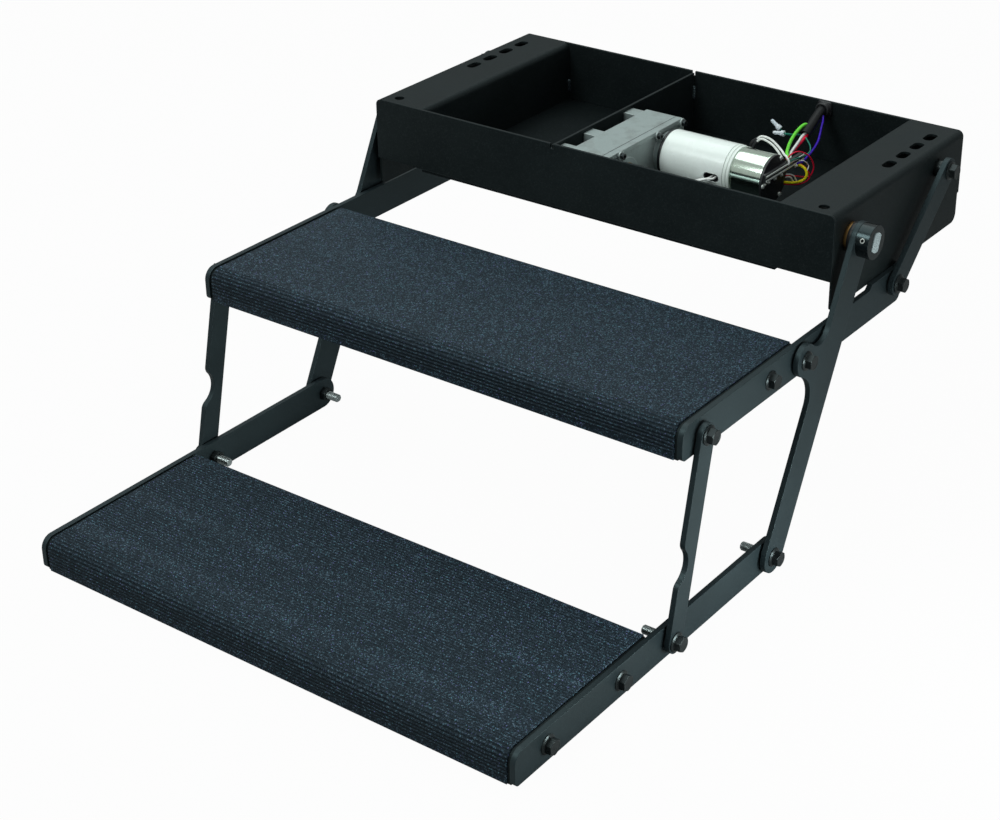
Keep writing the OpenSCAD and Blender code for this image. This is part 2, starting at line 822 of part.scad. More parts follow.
module gearbox_housing() {
    color(alloy)
        difference() {
            union() {
                along_x(case_x, case_split) case_outline();
                for (y = lugs_y)
                    along_x(lug_x, lug_l + case_wall / 2)
                        translate([y - lug_w / 2, case_low + case_r])
                            square([lug_w, case_h - 2 * case_r]);
            }
            along_x(hollow_x, case_split) gear_hollow();
            rod(case_x - cut, case_wall + 2 * cut, case_bush_d + 2 * seat_clear, shaft_at);
            for (at = [first_at, second_at])
                rod(axle_from, case_wall, axle_d + 2 * seat_clear, at);
            for (at = case_screws_at)
                rod(split_x - case_cover_t, 2 * case_cover_t, case_screw_d + 2 * seat_clear, at);
            for (y = lugs_y)
                rod(lug_x - cut, lug_l + cut - case_wall / 2, lug_hole_d, [y, case_top - case_h / 2]);
        }
}

module gearbox_cover() {
    color(alloy)
        difference() {
            union() {
                difference() {
                    along_x(split_x, case_cover_t) case_outline();
                    along_x(lid_x - case_recess, case_recess + cut)
                        translate([case_front + case_rim, case_low + case_rim])
                            square([case_rear - case_front - 2 * case_rim, case_h - 2 * case_rim]);
                }
                rod(split_x + case_cover_t / 2, case_cover_t / 2 + shaft_boss_h, shaft_boss_d, shaft_at);
                rod(split_x + case_cover_t / 2, case_cover_t / 2 + motor_seat_h, motor_seat_d, motor_at);
                for (at = case_screws_at)
                    rod(split_x + case_cover_t / 2, case_cover_t / 2 + case_recess, 2 * case_screw_in, at);
            }
            along_x(split_x - cut, case_cover_in + cut) gear_hollow();
            rod(split_x, case_cover_t + shaft_boss_h + cut, case_bush_d + 2 * seat_clear, shaft_at);
            rod(split_x, case_cover_t + motor_seat_h + cut, 2 * rotor_shaft_d, motor_at);
            for (at = [first_at, second_at])
                rod(split_x, axle_to - split_x, axle_d + 2 * seat_clear, at);
            for (at = case_screws_at)
                rod(split_x - cut, 2 * case_cover_t, case_screw_d + 2 * seat_clear, at);
        }
}

module gearbox_screws() {
    color(bolt_black)
        for (at = case_screws_at)
            difference() {
                union() {
                    rod(lid_x + case_recess, case_head_h, case_head_d, at);
                    rod(split_x - case_cover_t + cut, 2 * case_cover_t + case_recess - cut, case_screw_d, at);
                }
                hex_rod(lid_x + case_recess + case_head_h / 2, case_head_h, case_head_d / 2, at);
            }
}

module gearbox_bolts() {
    color(zinc)
        for (y = lugs_y)
            let (at = [y, case_top - case_h / 2]) {
                hex_rod(lug_x - sheet_t - hex_h, hex_h, hex_w, at);
                rod(lug_x - sheet_t - cut, sheet_t + lug_l - case_wall / 2, lug_bolt_d, at);
            }
}

module gearbox_bushes() {
    color(bronze) {
        ring(case_x, case_wall, case_bush_d, shaft_d + 2 * run_clear, shaft_at);
        ring(lid_in_x, lid_x + shaft_boss_h - lid_in_x, case_bush_d, shaft_d + 2 * run_clear, shaft_at);
    }
}

module gear_axles() {
    color(gear_steel)
        for (at = [first_at, second_at])
            rod(axle_from, axle_to - axle_from - side_play, axle_d, at);
}

module final_gear() {
    color(gear_steel)
        difference() {
            wheel(final_x, final_w, final_m, final_n, shaft_at);
            rod(final_x - cut, final_w + 2 * cut, shaft_d + 2 * seat_clear, shaft_at);
        }
}

module second_gear() {
    color(gear_steel)
        difference() {
            union() {
                pinion(final_x, second_x - final_x, final_m, second_at);
                wheel(second_x, second_w, second_m, second_n, second_at);
                rod(second_end_x, lid_in_x - side_play - second_end_x, second_sleeve_d, second_at);
            }
            rod(axle_from, axle_to - axle_from, axle_d + 2 * run_clear, second_at);
        }
}

module first_gear() {
    color(gear_steel)
        difference() {
            union() {
                rod(hollow_x + side_play, second_x - hollow_x - side_play, sleeve_d, first_at);
                pinion(second_x, first_x - second_x, second_m, first_at);
                wheel(first_x, first_w, first_m, first_n, first_at);
            }
            rod(axle_from, axle_to - axle_from, axle_d + 2 * run_clear, first_at);
        }
}

// Motor

module motor_case() {
    color("#e4e4de")
        difference() {
            translate([motor_x, motor_at[0], motor_at[1]])
                rotate([0, 90, 0])
                    rotate_extrude()
                        difference() {
                            square([motor_d / 2, motor_l]);
                            translate([0, motor_wall])
                                square([motor_d / 2 - motor_wall, motor_l]);
                            corner_waste([motor_d / 2, 0], motor_wall, [-1, 1]);
                        }
            rod(motor_x - cut, motor_wall + 2 * cut, rotor_shaft_d + 2 * run_clear, motor_at);
            translate([lead_slot_x, motor_at[0] - motor_d / 4, motor_at[1] - 3])
                rotate([90, 0, 0])
                    linear_extrude(motor_d)
                        slot_outline(lead_slot_l, lead_slot_h);
        }
}

module motor_end_ring() {
    color("#d9d9d2")
        difference() {
            rod(ring_x, ring_l, motor_d, motor_at);
            rod(ring_x - cut, ring_l - motor_wall + cut, rotor_shaft_d + 2 * run_clear, motor_at);
        }
}

module controller_can() {
    color(zinc)
        difference() {
            rod(can_x, can_l, can_d, motor_at);
            for (turn = plate_screw_turns)
                rod(plate_x - can_l / 4, can_l, plate_screw_d + 2 * seat_clear,
                    motor_at + plate_screw_r * [cos(turn), sin(turn)]);
        }
}

module controller_plate() {
    color(steel)
        difference() {
            rod(plate_x, plate_t, can_d, motor_at);
            for (turn = plate_screw_turns)
                rod(plate_x - cut, plate_t + 2 * cut, plate_screw_d + 2 * seat_clear,
                    motor_at + plate_screw_r * [cos(turn), sin(turn)]);
        }
}

module controller_screws() {
    color(zinc)
        for (turn = plate_screw_turns)
            let (at = motor_at + plate_screw_r * [cos(turn), sin(turn)]) {
                rod(bar_x, plate_screw_d / 2, 2 * plate_screw_d - cut, at);
                rod(plate_x - can_l / 4 + cut, can_l / 4 + plate_t, plate_screw_d, at);
            }
}

module terminal_bar() {
    color(steel)
        translate([bar_x, bar_front, bar_top - bar_h]) cube([bar_t, bar_l, bar_h]);
}

module terminal_strips() {
    color(zinc)
        for (z = [bar_top - bar_h / 4, bar_top - bar_h * 3 / 4])
            translate([bar_x + bar_t, bar_front + strip_h, z - strip_h / 2])
                cube([strip_t, bar_l - 2 * strip_h, strip_h]);
}

// Wiring

module harness_clamp() {
    color(steel)
        difference() {
            translate([clamp_at[0] - clamp_w / 2, rear_y - sheet_t - clamp_l, clamp_at[1] - clamp_w / 2])
                cube([clamp_w, clamp_l, clamp_w]);
            translate([clamp_at[0], rear_y, clamp_at[1]])
                rotate([90, 0, 0])
                    cylinder(d = sheath_d + 2 * wire_gap, h = sheet_t + clamp_l + cut);
        }
}

module harness_sheath() {
    color(steel) tube(sheath_route, sheath_d, 1, 10);
}

module crimp_caps() {
    color("#d8d4c4")
        for (i = [0, 1])
            translate(route_from + crimps_at[i])
                rotate([0, 90 - crimp_lifts[i], crimp_turn])
                    translate([0, 0, wire_gap])
                        cylinder(d = crimp_d, h = crimp_l);
}

module motor_leads() {
    color("#e9e7df") {
        tube(lead_a_route, thick_d);
        tube(lead_b_route, thick_d);
    }
}

module wire_green() {
    color("#8fce9a") tube(green_route, thick_d, 2);
}

module wire_white() {
    color("#ecebe4") tube(white_route, thick_d);
}

module wire_red() {
    color("#b8322c") {
        tube(red_route, thick_d);
        tube(pink_route, thin_d, 2);
    }
}

module wire_purple() {
    color("#6f4c8f") tube(purple_route, thick_d);
}

module wire_teal() {
    color("#1f6b57") {
        tube(teal_a_route, thin_d);
        tube(teal_b_route, thin_d);
    }
}

module wire_yellow() {
    color("#d9b92f") tube(yellow_route, thick_d, 2);
}

module armature() {
    shaft_from = first_x - gear_side / 2;
    rotor_x = motor_x + motor_l - rotor_l - 4 * motor_wall;
    color(gear_steel) {
        pinion(shaft_from, first_w + gear_side, first_m, motor_at);
        rod(shaft_from, ring_x + ring_l / 2 - shaft_from, rotor_shaft_d, motor_at);
        rod(rotor_x, rotor_l, rotor_d, motor_at);
    }
}

// Drive shaft and arms

// The section of the shaft at its ends, r larger all round
module double_d(r) {
    intersection() {
        circle(d = shaft_d + 2 * r);
        rotate(-flat_lean) square([shaft_flat + 2 * r, 2 * shaft_d], center = true);
    }
}

module drive_shaft() {
    round_l = link_x - side_play;
    color(zinc) {
        rod(-round_l, 2 * round_l, shaft_d, shaft_at);
        along_x(round_l, hub_x + shaft_proud - round_l) translate(shaft_at) double_d(0);
        along_x(-link_x - link_t, link_x + link_t - round_l) translate(shaft_at) double_d(0);
    }
}

// Point of an arm, u along the line from the shaft to the lower pivot and v toward the front
function arm_dir() = unit(arm_end_at - shaft_at);
function arm_u(p) = (p - shaft_at) * arm_dir();
function arm_v(p) = (p - shaft_at) * [arm_dir()[1], -arm_dir()[0]];

// The arm's outline in u and v: a bar with an ear, blended by two hollows
module arm_outline() {
    ear = [arm_u(ear_at), arm_v(ear_at)];
    end_u = arm_u(arm_end_at);
    blend = [
        for (i = [0, 1])
            let (r = [ear_top_r, ear_low_r][i])
            let (v = arm_w / 2 + r)
            let (reach = sqrt(pow(ear_d / 2 + r, 2) - pow(ear[1] - v, 2)))
            [ear[0] + [-1, 1][i] * reach, v, r]
    ];
    translate([0, -arm_w / 2]) square([end_u - (arm_w - arm_end_d) / 2, arm_w]);
    circle(d = arm_w);
    translate([end_u, 0]) circle(d = arm_end_d);
    translate(ear) circle(d = ear_d);
    difference() {
        polygon([
            [blend[0][0], 0],
            [blend[0][0], blend[0][1]],
            ear,
            [blend[1][0], blend[1][1]],
            [blend[1][0], 0]
        ]);
        for (b = blend) translate([b[0], b[1]]) circle(b[2]);
    }
}

// The right arm is held by its hub, and the left one is welded to the shaft
module drive_arm(side) {
    hub = side > 0 ? hub_l : 0;
    color(steel)
        on_side(side)
            difference() {
                union() {
                    along_x(link_x, link_t)
                        translate(shaft_at)
                            rotate(atan2(arm_dir()[1], arm_dir()[0]))
                                mirror([0, 1])
                                    arm_outline();
                    rod(link_x, link_t + hub, hub_d, shaft_at);
                }
                along_x(link_x - cut, link_t + hub + 2 * cut) translate(shaft_at) double_d(seat_clear);
                for (at = [ear_at, arm_end_at])
                    rod(link_x - cut, link_t + 2 * cut, pivot_d + 2 * run_clear, at);
                if (side > 0) set_hole(shaft_d, set_d + 2 * seat_clear);
            }
}

// The hole of a set screw, square to a flat of the shaft
module set_hole(reach, d) {
    translate([link_x + link_t + hub_l / 2, shaft_at[0], shaft_at[1]])
        rotate([90 - flat_lean, 0, 0])
            translate([0, 0, shaft_flat / 2 + seat_clear])
                cylinder(d = d, h = reach);
}

module hub_set_screw() {
    color(zinc)
        difference() {
            set_hole(hub_d / 2 - shaft_flat / 2 - cut, set_d);
            translate([link_x + link_t + hub_l / 2, shaft_at[0], shaft_at[1]])
                rotate([90 - flat_lean, 0, 0])
                    translate([0, 0, hub_d / 2 - set_d / 2 - cut])
                        cylinder(d = set_d / 2, h = set_d, $fn = 6);
        }
}

module rear_link(side) {
    color(steel)
        on_side(side)
            difference() {
                along_x(link_x, link_t) bar_outline(rear_at, tail_at, rear_link_w);
                rod(link_x - cut, link_t + 2 * cut, pivot_d + 2 * run_clear, rear_at);
                rod(link_x - cut, link_t + 2 * cut, pivot_d + 2 * open_clear, tail_at);
            }
}

// Points of an arc about a middle, from one angle to another
function arc_points(middle, r, from, to) =
    [
        for (i = [0 : notch_steps])
            let (a = from + (to - from) * i / notch_steps)
            middle + r * [cos(a), sin(a)]
    ];

// What a front link loses at its notch, with x along the link: a hollow with rounded edges
notch_steps = 10;
module notch_waste() {
    edge = front_link_w / 2;
    low = link_notch - link_notch_r - edge;
    high = link_blend_r - edge;
    reach = sqrt(pow(link_notch_r + link_blend_r, 2) - pow(high - low, 2));
    lean = atan2(high - low, reach);
    start = lean + (180 - 2 * lean) / notch_steps;
    polygon(concat(
        arc_points([reach, high], link_blend_r, -90, lean - 180),
        arc_points([0, low], link_notch_r, start, 180 - start),
        arc_points([-reach, high], link_blend_r, -lean, -90),
        [[-reach, low - cut], [reach, low - cut]]
    ));
}

module front_link(side) {
    way = unit(link_end_at - front_at);
    color(steel)
        on_side(side)
            difference() {
                along_x(link_x, link_t)
                    difference() {
                        bar_outline(front_at, link_end_at, front_link_w);
                        translate(front_at + way * notch_along) rotate(atan2(way[1], way[0])) notch_waste();
                    }
                rod(link_x - cut, link_t + 2 * cut, pivot_d + 2 * run_clear, front_at);
                rod(link_x - cut, link_t + 2 * cut, pivot_d + 2 * open_clear, link_end_at);
            }
}

// Steps

module rail_holes(pivots, bolts) {
    for (at = pivots) rod(rail_x - cut, rail_t + 2 * cut, pivot_d + 2 * seat_clear, at);
    for (at = bolts) rod(rail_x - cut, rail_t + 2 * cut, tread_bolt_d + 2 * seat_clear, at);
}

module upper_rail(side) {
    back = tail_at[0] + rail_tail;
    rise_at = tail_at[0] - rail_rise_l;
    low = upper_top - rail_h;
    color(steel)
        on_side(side)
            difference() {
                along_x(rail_x, rail_t)
                    difference() {
                        polygon([
                            [upper_front, low],
                            [back, low],
                            [back, upper_top + rail_rise],
                            [rise_at + rail_rise, upper_top + rail_rise],
                            [rise_at, upper_top],
                            [upper_front, upper_top]
                        ]);
                        corner_waste([upper_front, upper_top], nose_r, [1, -1]);
                        corner_waste([upper_front, low], rail_low_r, [1, 1]);
                        corner_waste([back, low], side_corner_r, [-1, 1]);
                    }
                rail_holes([ear_at, tail_at, front_at], [upper_bolt_at]);
            }
}

module lower_rail(side) {
    low = lower_top - rail_h;
    color(steel)
        on_side(side)
            difference() {
                along_x(rail_x, rail_t) {
                    difference() {
                        translate([lower_front, low]) square([arm_end_at[0] - lower_front, rail_h]);
                        corner_waste([lower_front, lower_top], nose_r, [1, -1]);
                        corner_waste([lower_front, low], rail_low_r, [1, 1]);
                    }
                    translate(arm_end_at) circle(d = rail_h);
                }
                rail_holes([arm_end_at, link_end_at], lower_bolts_at);
            }
}

// A tread's outer line from the foot of the nose to the rear, set in by off
nose_steps = 8;
function nose_points(front, top, off) =
    concat(
        [[front + off, top - rail_h]],
        [
            for (i = [0 : nose_steps])
                let (a = 180 - 90 * i / nose_steps)
                [front + nose_r, top - nose_r] + (nose_r - off) * [cos(a), sin(a)]
        ]
    );

// Point of a tread's outer line at the length s from the foot of the nose, raised by h
function nose_at(front, top, s, h) =
    let (up = rail_h - nose_r)
    let (arc = nose_r * PI / 2)
    s < up ? [front - h, top - rail_h + s] :
    s < up + arc ?
        let (a = 180 - (s - up) / nose_r * 180 / PI)
        [front + nose_r, top - nose_r] + (nose_r + h) * [cos(a), sin(a)] :
    [front + nose_r + s - up - arc, top + h];

// Ribs over the length from one place to another along the outer line
function rib_points(front, top, from, to) =
    [
        for (i = [0 : floor((to - from) / rib_pitch) - 1])
            for (k = [0 : 3])
                nose_at(front, top, from + (i + k / 4) * rib_pitch, k == 1 || k == 2 ? rib_h : 0)
    ];

// The cover's section: bands are the ribbed lengths of its outer line
module cover_outline(front, rear, top, bands) {
    outer = [for (b = bands) each rib_points(front, top, b[0], b[1])];
    inner = nose_points(front, top, cover_t);
    polygon(concat(
        [[front, top - rail_h]],
        outer,
        [[rear, top], [rear, top - cover_t]],
        [for (i = [len(inner) - 1 : -1 : 0]) inner[i]]
    ));
}

// A cover: a nosing strip and a top sheet, which meet on the first level rib
module cover(front, rear, top, bands) {
    half = rail_x - cover_in;
    joint = front + nose_r + rib_pitch / 8;
    color(cover_grey)
        difference() {
            along_x(-half, 2 * half) cover_outline(front, rear, top, bands);
            translate([-half - cut, joint, top - rail_h]) cube([2 * half + 2 * cut, seam, rail_h + rib_h + cut]);
        }
}

// The nose strip's section: a flange at its foot, the front, and the curve up to the top sheet
module nose_outline(front, top) {
    outer = nose_points(front, top, cover_t);
    inner = nose_points(front, top, cover_t + pan_t);
    polygon(concat(
        outer,
        [for (i = [len(inner) - 1 : -1 : 1]) inner[i]],
        [inner[0] + [0, pan_t], outer[0] + [pan_hem, pan_t], outer[0] + [pan_hem, 0]]
    ));
}

module end_plate_outline(front, rear, top) {
    polygon(concat(
        nose_points(front, top, cover_t),
        [[rear - end_plate_in, top - cover_t], [rear - end_plate_in, top - rail_h]]
    ));
}

// A tread pan: a nose strip, a top sheet, a rear lip and two end plates, welded along their edges
module tread(front, rear, top, pivots, bolts) {
    half = rail_x - pan_t - seam;
    flat_from = front + nose_r + seam;
    color(steel) {
        along_x(-half, 2 * half) nose_outline(front, top);
        along_x(-half, 2 * half)
            translate([flat_from, top - cover_t - pan_t]) square([rear - flat_from, pan_t]);
        along_x(-half, 2 * half)
            translate([rear - pan_t, top - pan_lip]) square([pan_t, pan_lip - cover_t - pan_t - seam]);
        both_sides()
            difference() {
                along_x(rail_x - pan_t, pan_t) end_plate_outline(front, rear, top);
                for (at = pivots) rod(rail_x - 2 * pan_t, 3 * pan_t, pivot_d + 2 * seat_clear, at);
                for (at = bolts) rod(rail_x - 2 * pan_t, 3 * pan_t, tread_bolt_d + 2 * seat_clear, at);
            }
    }
}

module upper_tread() {
    tread(upper_front, upper_rear, upper_top, [front_at], [upper_bolt_at]);
}

module lower_tread() {
    tread(lower_front, lower_rear, lower_top, [], lower_bolts_at);
}

module upper_tread_cover() {
    cover(upper_front, upper_rear, upper_top, [[nose_plain, rail_h + nose_r]]);
}

module lower_tread_cover() {
    whole = rail_h + lower_depth - nose_r * (2 - PI / 2);
    front_band = rail_h + 2 * nose_r;
    plain_band = 20;
    middle_band = 60;
    cover(lower_front, lower_rear, lower_top, [
        [nose_plain, front_band],
        [front_band + plain_band, front_band + plain_band + middle_band],
        [front_band + 2 * plain_band + middle_band, whole - nose_plain]
    ]);
}

// Bolts of a step: the pivots hold washers and links, and the tread bolts sit on the rail
module pivot_bolts(at_rail, at_pan, proud) {
    color(bolt_black)
        both_sides() {
            for (at = at_rail) flange_bolt(head_x, rail_x - nut_h - proud, pivot_d, at);
            for (at = at_pan) flange_bolt(head_x, rail_x - pan_t - nut_h - proud, pivot_d, at);
        }
}

module tread_bolts(bolts) {
    color(bolt_black)
        both_sides()
            for (at = bolts)
                flange_bolt(rail_x + rail_t, rail_x - pan_t - nut_h - thread_proud / 2, tread_bolt_d, at);
}

module step_nuts(at_rail, at_pan, bolts) {
    color(bolt_black)
        both_sides() {
            for (at = at_rail) nut(rail_x, pivot_d, at);
            for (at = at_pan) nut(rail_x - pan_t, pivot_d, at);
            for (at = bolts) nut(rail_x - pan_t, tread_bolt_d, at);
        }
}

module pivot_washers(pivots) {
    color(zinc)
        both_sides()
            for (at = pivots)
                ring(rail_x + rail_t, washer_t - side_play, washer_d, pivot_d + 2 * seat_clear, at);
}

module upper_tread_bolts() {
    tread_bolts([upper_bolt_at]);
}

module upper_pivot_bolts() {
    pivot_bolts([ear_at, tail_at], [front_at], thread_proud);
}

module upper_nuts() {
    step_nuts([ear_at, tail_at], [front_at], [upper_bolt_at]);
}

module upper_pivot_washers() {
    pivot_washers([ear_at, tail_at, front_at]);
}

module lower_tread_bolts() {
    tread_bolts(lower_bolts_at);
}

module lower_pivot_bolts() {
    pivot_bolts([arm_end_at, link_end_at], [], lower_proud);
}

module lower_nuts() {
    step_nuts([arm_end_at, link_end_at], [], lower_bolts_at);
}

module lower_pivot_washers() {
    pivot_washers([arm_end_at, link_end_at]);
}

side_channel(-1);  // side_channel_left
side_channel(1);  // side_channel_right
front_wall();
rear_wall();
floor_pan();
divider_plate();
shaft_bushes();
rear_pivot_bolts();
rear_pivot_fittings();
gearbox_housing();
gearbox_cover();
gearbox_screws();
gearbox_bolts();
gearbox_bushes();
gear_axles();
motor_case();
motor_end_ring();
controller_can();
controller_plate();
controller_screws();
terminal_bar();
terminal_strips();
harness_clamp();
harness_sheath();
crimp_caps();
motor_leads();
wire_green();
wire_white();
wire_red();
wire_purple();
wire_teal();
wire_yellow();
drive_shaft();
drive_arm(-1);  // drive_arm_left
drive_arm(1);  // drive_arm_right
hub_set_screw();
final_gear();
second_gear();
first_gear();
armature();
rear_link(-1);  // rear_link_left
rear_link(1);  // rear_link_right
upper_rail(-1);  // upper_rail_left
upper_rail(1);  // upper_rail_right
upper_tread();
upper_tread_cover();
upper_tread_bolts();
upper_pivot_bolts();
upper_nuts();
upper_pivot_washers();
lower_rail(-1);  // lower_rail_left
lower_rail(1);  // lower_rail_right
lower_tread();
lower_tread_cover();
lower_tread_bolts();
lower_pivot_bolts();
lower_nuts();
lower_pivot_washers();
front_link(-1);  // front_link_left
front_link(1);  // front_link_right
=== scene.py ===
"""Looks of the caravan pull-out step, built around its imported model.

Sizes are in millimetres in the model's frame: +X to the right, +Y back under the vehicle, Z up from the flanges.
Meshes are written in metres.
"""

import json
import logging
import math
from collections.abc import Sequence
from dataclasses import dataclass
from enum import Enum

import bpy
import numpy as np
from mathutils import Matrix, Vector

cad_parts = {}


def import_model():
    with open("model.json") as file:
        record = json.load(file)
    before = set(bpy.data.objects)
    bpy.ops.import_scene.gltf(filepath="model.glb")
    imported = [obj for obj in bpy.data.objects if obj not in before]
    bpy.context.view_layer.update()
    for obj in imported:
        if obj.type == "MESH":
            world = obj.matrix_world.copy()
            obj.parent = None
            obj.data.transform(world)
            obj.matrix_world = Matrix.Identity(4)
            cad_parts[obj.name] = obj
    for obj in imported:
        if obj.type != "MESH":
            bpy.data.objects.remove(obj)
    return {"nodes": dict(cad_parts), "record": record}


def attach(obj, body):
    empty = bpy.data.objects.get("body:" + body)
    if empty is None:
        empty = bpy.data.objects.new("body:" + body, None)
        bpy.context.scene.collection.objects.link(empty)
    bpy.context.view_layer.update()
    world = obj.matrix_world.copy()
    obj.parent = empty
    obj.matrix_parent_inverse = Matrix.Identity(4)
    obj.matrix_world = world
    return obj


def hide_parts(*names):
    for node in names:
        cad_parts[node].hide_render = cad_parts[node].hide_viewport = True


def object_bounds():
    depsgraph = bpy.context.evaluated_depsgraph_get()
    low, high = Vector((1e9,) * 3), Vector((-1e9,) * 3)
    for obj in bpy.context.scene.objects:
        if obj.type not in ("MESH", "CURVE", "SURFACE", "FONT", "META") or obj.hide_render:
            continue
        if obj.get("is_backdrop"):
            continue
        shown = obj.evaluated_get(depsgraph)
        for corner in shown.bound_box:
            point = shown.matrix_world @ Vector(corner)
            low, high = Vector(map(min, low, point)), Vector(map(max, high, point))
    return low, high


MM = 0.001
# Numbers of a colour Mix node's share, two colours and result among its sockets
MIX_INPUTS = (0, 6, 7)
MIX_OUTPUT = 2

Array = np.ndarray
Colour = tuple[float, float, float]
Place = tuple[float, float]
Point = tuple[float, float, float]
Socket = bpy.types.NodeSocket

log = logging.getLogger("pull_out_step")


class Body(Enum):
    """Moving bodies of the step."""

    BOX = "mounting_box"
    DRIVE = "drive"
    UPPER = "upper_step"
    LOWER = "lower_step"


class Slot(Enum):
    """Material slots of the record."""

    STEEL = "black_steel"
    FASTENER = "black_fasteners"
    ZINC = "zinc_steel"
    GEAR = "gear_steel"
    BRONZE = "bronze"
    ALLOY = "cast_alloy"
    PAINT = "white_paint"
    WHITE_PLASTIC = "white_plastic"
    BLACK_PLASTIC = "black_plastic"
    CLEAR = "clear_plastic"
    WHITE = "white_insulation"
    GREEN = "green_insulation"
    RED = "red_insulation"
    PURPLE = "purple_insulation"
    TEAL = "teal_insulation"
    YELLOW = "yellow_insulation"
    COVER = "tread_cover"


# Materials


class Graph:
    """A material's node tree, with short calls for the nodes that the finishes use."""

    def __init__(self, name: str) -> None:
        """Starts a material with a principled shader and object coordinates.

        Args:
            name: the material's name.
        """
        self.material = bpy.data.materials.new(name)
        self.material.use_nodes = True
        tree = self.material.node_tree
        self.nodes, self.links = tree.nodes, tree.links
        self.nodes.clear()
        self.shader = self.nodes.new("ShaderNodeBsdfPrincipled")
        output = self.nodes.new("ShaderNodeOutputMaterial")
        self.links.new(self.shader.outputs["BSDF"], output.inputs["Surface"])
        self.place = self.nodes.new("ShaderNodeTexCoord").outputs["Object"]

    def set(self, socket: str, value: float | Colour) -> None:
        """Sets a uniform number or colour on the shader's own socket.

        Args:
            socket: the socket's name.
            value: a number, or a colour in linear light.
        """
        self.shader.inputs[socket].default_value = (*value, 1.0) if isinstance(value, tuple) else value

    def feed(self, socket: str, source: Socket) -> None:
        """Links a source to one of the shader's sockets."""
        self.links.new(source, self.shader.inputs[socket])

    def put(self, socket: Socket, value: Socket | float | Colour) -> None:
        """Links or writes a value into any node's input.

        Args:
            socket: the input.
            value: another node's output, a number or a colour.
        """
        if isinstance(value, bpy.types.NodeSocket):
            self.links.new(value, socket)
        elif isinstance(value, tuple):
            socket.default_value = (*value, 1.0) if len(socket.default_value) == 4 else value
        else:
            socket.default_value = value

    def stretched(self, scale: Point) -> Socket:
        """Object coordinates scaled apart along the three axes.

        Args:
            scale: the factor along each axis.

        Returns:
            The scaled coordinates.
        """
        node = self.nodes.new("ShaderNodeMapping")
        self.links.new(self.place, node.inputs["Vector"])
        node.inputs["Scale"].default_value = scale
        return node.outputs["Vector"]

    def noise(self, scale: float, detail: float = 2.0, rough: float = 0.5, place: Socket | None = None) -> Socket:
        """Cloudy noise from 0 to 1.

        Args:
            scale: clouds in a metre.
            detail: octaves.
            rough: share that each octave keeps.
            place: coordinates, the object's own where none are given.

        Returns:
            The noise value.
        """
        node = self.nodes.new("ShaderNodeTexNoise")
        self.links.new(place or self.place, node.inputs["Vector"])
        node.inputs["Scale"].default_value = scale
        node.inputs["Detail"].default_value = detail
        node.inputs["Roughness"].default_value = rough
        return node.outputs["Fac"]

    def grains(self, scale: float, output: str = "Color") -> Socket:
        """Random cells.

        Args:
            scale: cells in a metre.
            output: "Color" for a random colour in each cell, or "Distance" from its middle.

        Returns:
            The chosen output.
        """
        node = self.nodes.new("ShaderNodeTexVoronoi")
        self.links.new(self.place, node.inputs["Vector"])
        node.inputs["Scale"].default_value = scale
        return node.outputs[output]

    def span(self, source: Socket, low: float, high: float, to_low: float, to_high: float) -> Socket:
        """Maps a range to another, and clamps.

        Args:
            source: the value.
            low: where the range starts.
            high: where it ends.
            to_low: the value at its start.
            to_high: the value at its end.

        Returns:
            The mapped value.
        """
        node = self.nodes.new("ShaderNodeMapRange")
        self.links.new(source, node.inputs["Value"])
        for name, value in zip(("From Min", "From Max", "To Min", "To Max"), (low, high, to_low, to_high)):
            node.inputs[name].default_value = value
        return node.outputs["Result"]

    def mix(self, share: Socket | float, a: Socket | Colour, b: Socket | Colour) -> Socket:
        """Mixes two colours.

        Args:
            share: share of the second colour.
            a: the first colour.
            b: the second colour.

        Returns:
            The mixed colour.
        """
        node = self.nodes.new("ShaderNodeMix")
        node.data_type = "RGBA"
        for socket, value in zip(MIX_INPUTS, (share, a, b)):
            self.put(node.inputs[socket], value)
        return node.outputs[MIX_OUTPUT]

    def layer(self, under: Socket | Colour, over: Colour, mask: Socket, low: float, high: float,
              share: float = 1.0) -> Socket:
        """Lays a colour over another where a mask is high.

        Args:
            under: the colour below.
            over: the colour above.
            mask: where the upper colour lies.
            low: value of the mask where it starts.
            high: value of the mask where it is full.
            share: how much it covers where it is full.

        Returns:
            The layered colour.
        """
        return self.mix(self.span(mask, low, high, 0.0, share), under, over)

    def gloss(self, mask: Socket, roughness: float, less: float, more: float) -> None:
        """Feeds a roughness that follows a cloudy mask.

        Args:
            mask: noise from 0 to 1.
            roughness: the finish's roughness.
            less: how much lower it is where the mask is low.
            more: how much higher it is where the mask is high.
        """
        self.feed("Roughness", self.span(mask, 0.3, 0.7, roughness - less, roughness + more))

    def math(self, kind: str, a: Socket | float, b: Socket | float = 0.0) -> Socket:
        """One step of arithmetic.

        Args:
            kind: Blender's name of the operation.
            a: the first value.
            b: the second value.

        Returns:
            The result.
        """
        node = self.nodes.new("ShaderNodeMath")
        node.operation = kind
        self.put(node.inputs[0], a)
        self.put(node.inputs[1], b)
        return node.outputs[0]

    def channel(self, colour: Socket, name: str) -> Socket:
        """One channel of a colour, or one coordinate of a place: X is its red, Y its green, Z its blue.

        Args:
            colour: the colour or place.
            name: "Red", "Green" or "Blue".

        Returns:
            The channel's value.
        """
        node = self.nodes.new("ShaderNodeSeparateColor")
        self.links.new(colour, node.inputs["Color"])
        return node.outputs[name]

    def attribute(self, name: str) -> Socket:
        """A number that the mesh keeps at each point, 0 where it has none.

        Args:
            name: the attribute's name.

        Returns:
            The number.
        """
        node = self.nodes.new("ShaderNodeAttribute")
        node.attribute_name = name
        return node.outputs["Fac"]

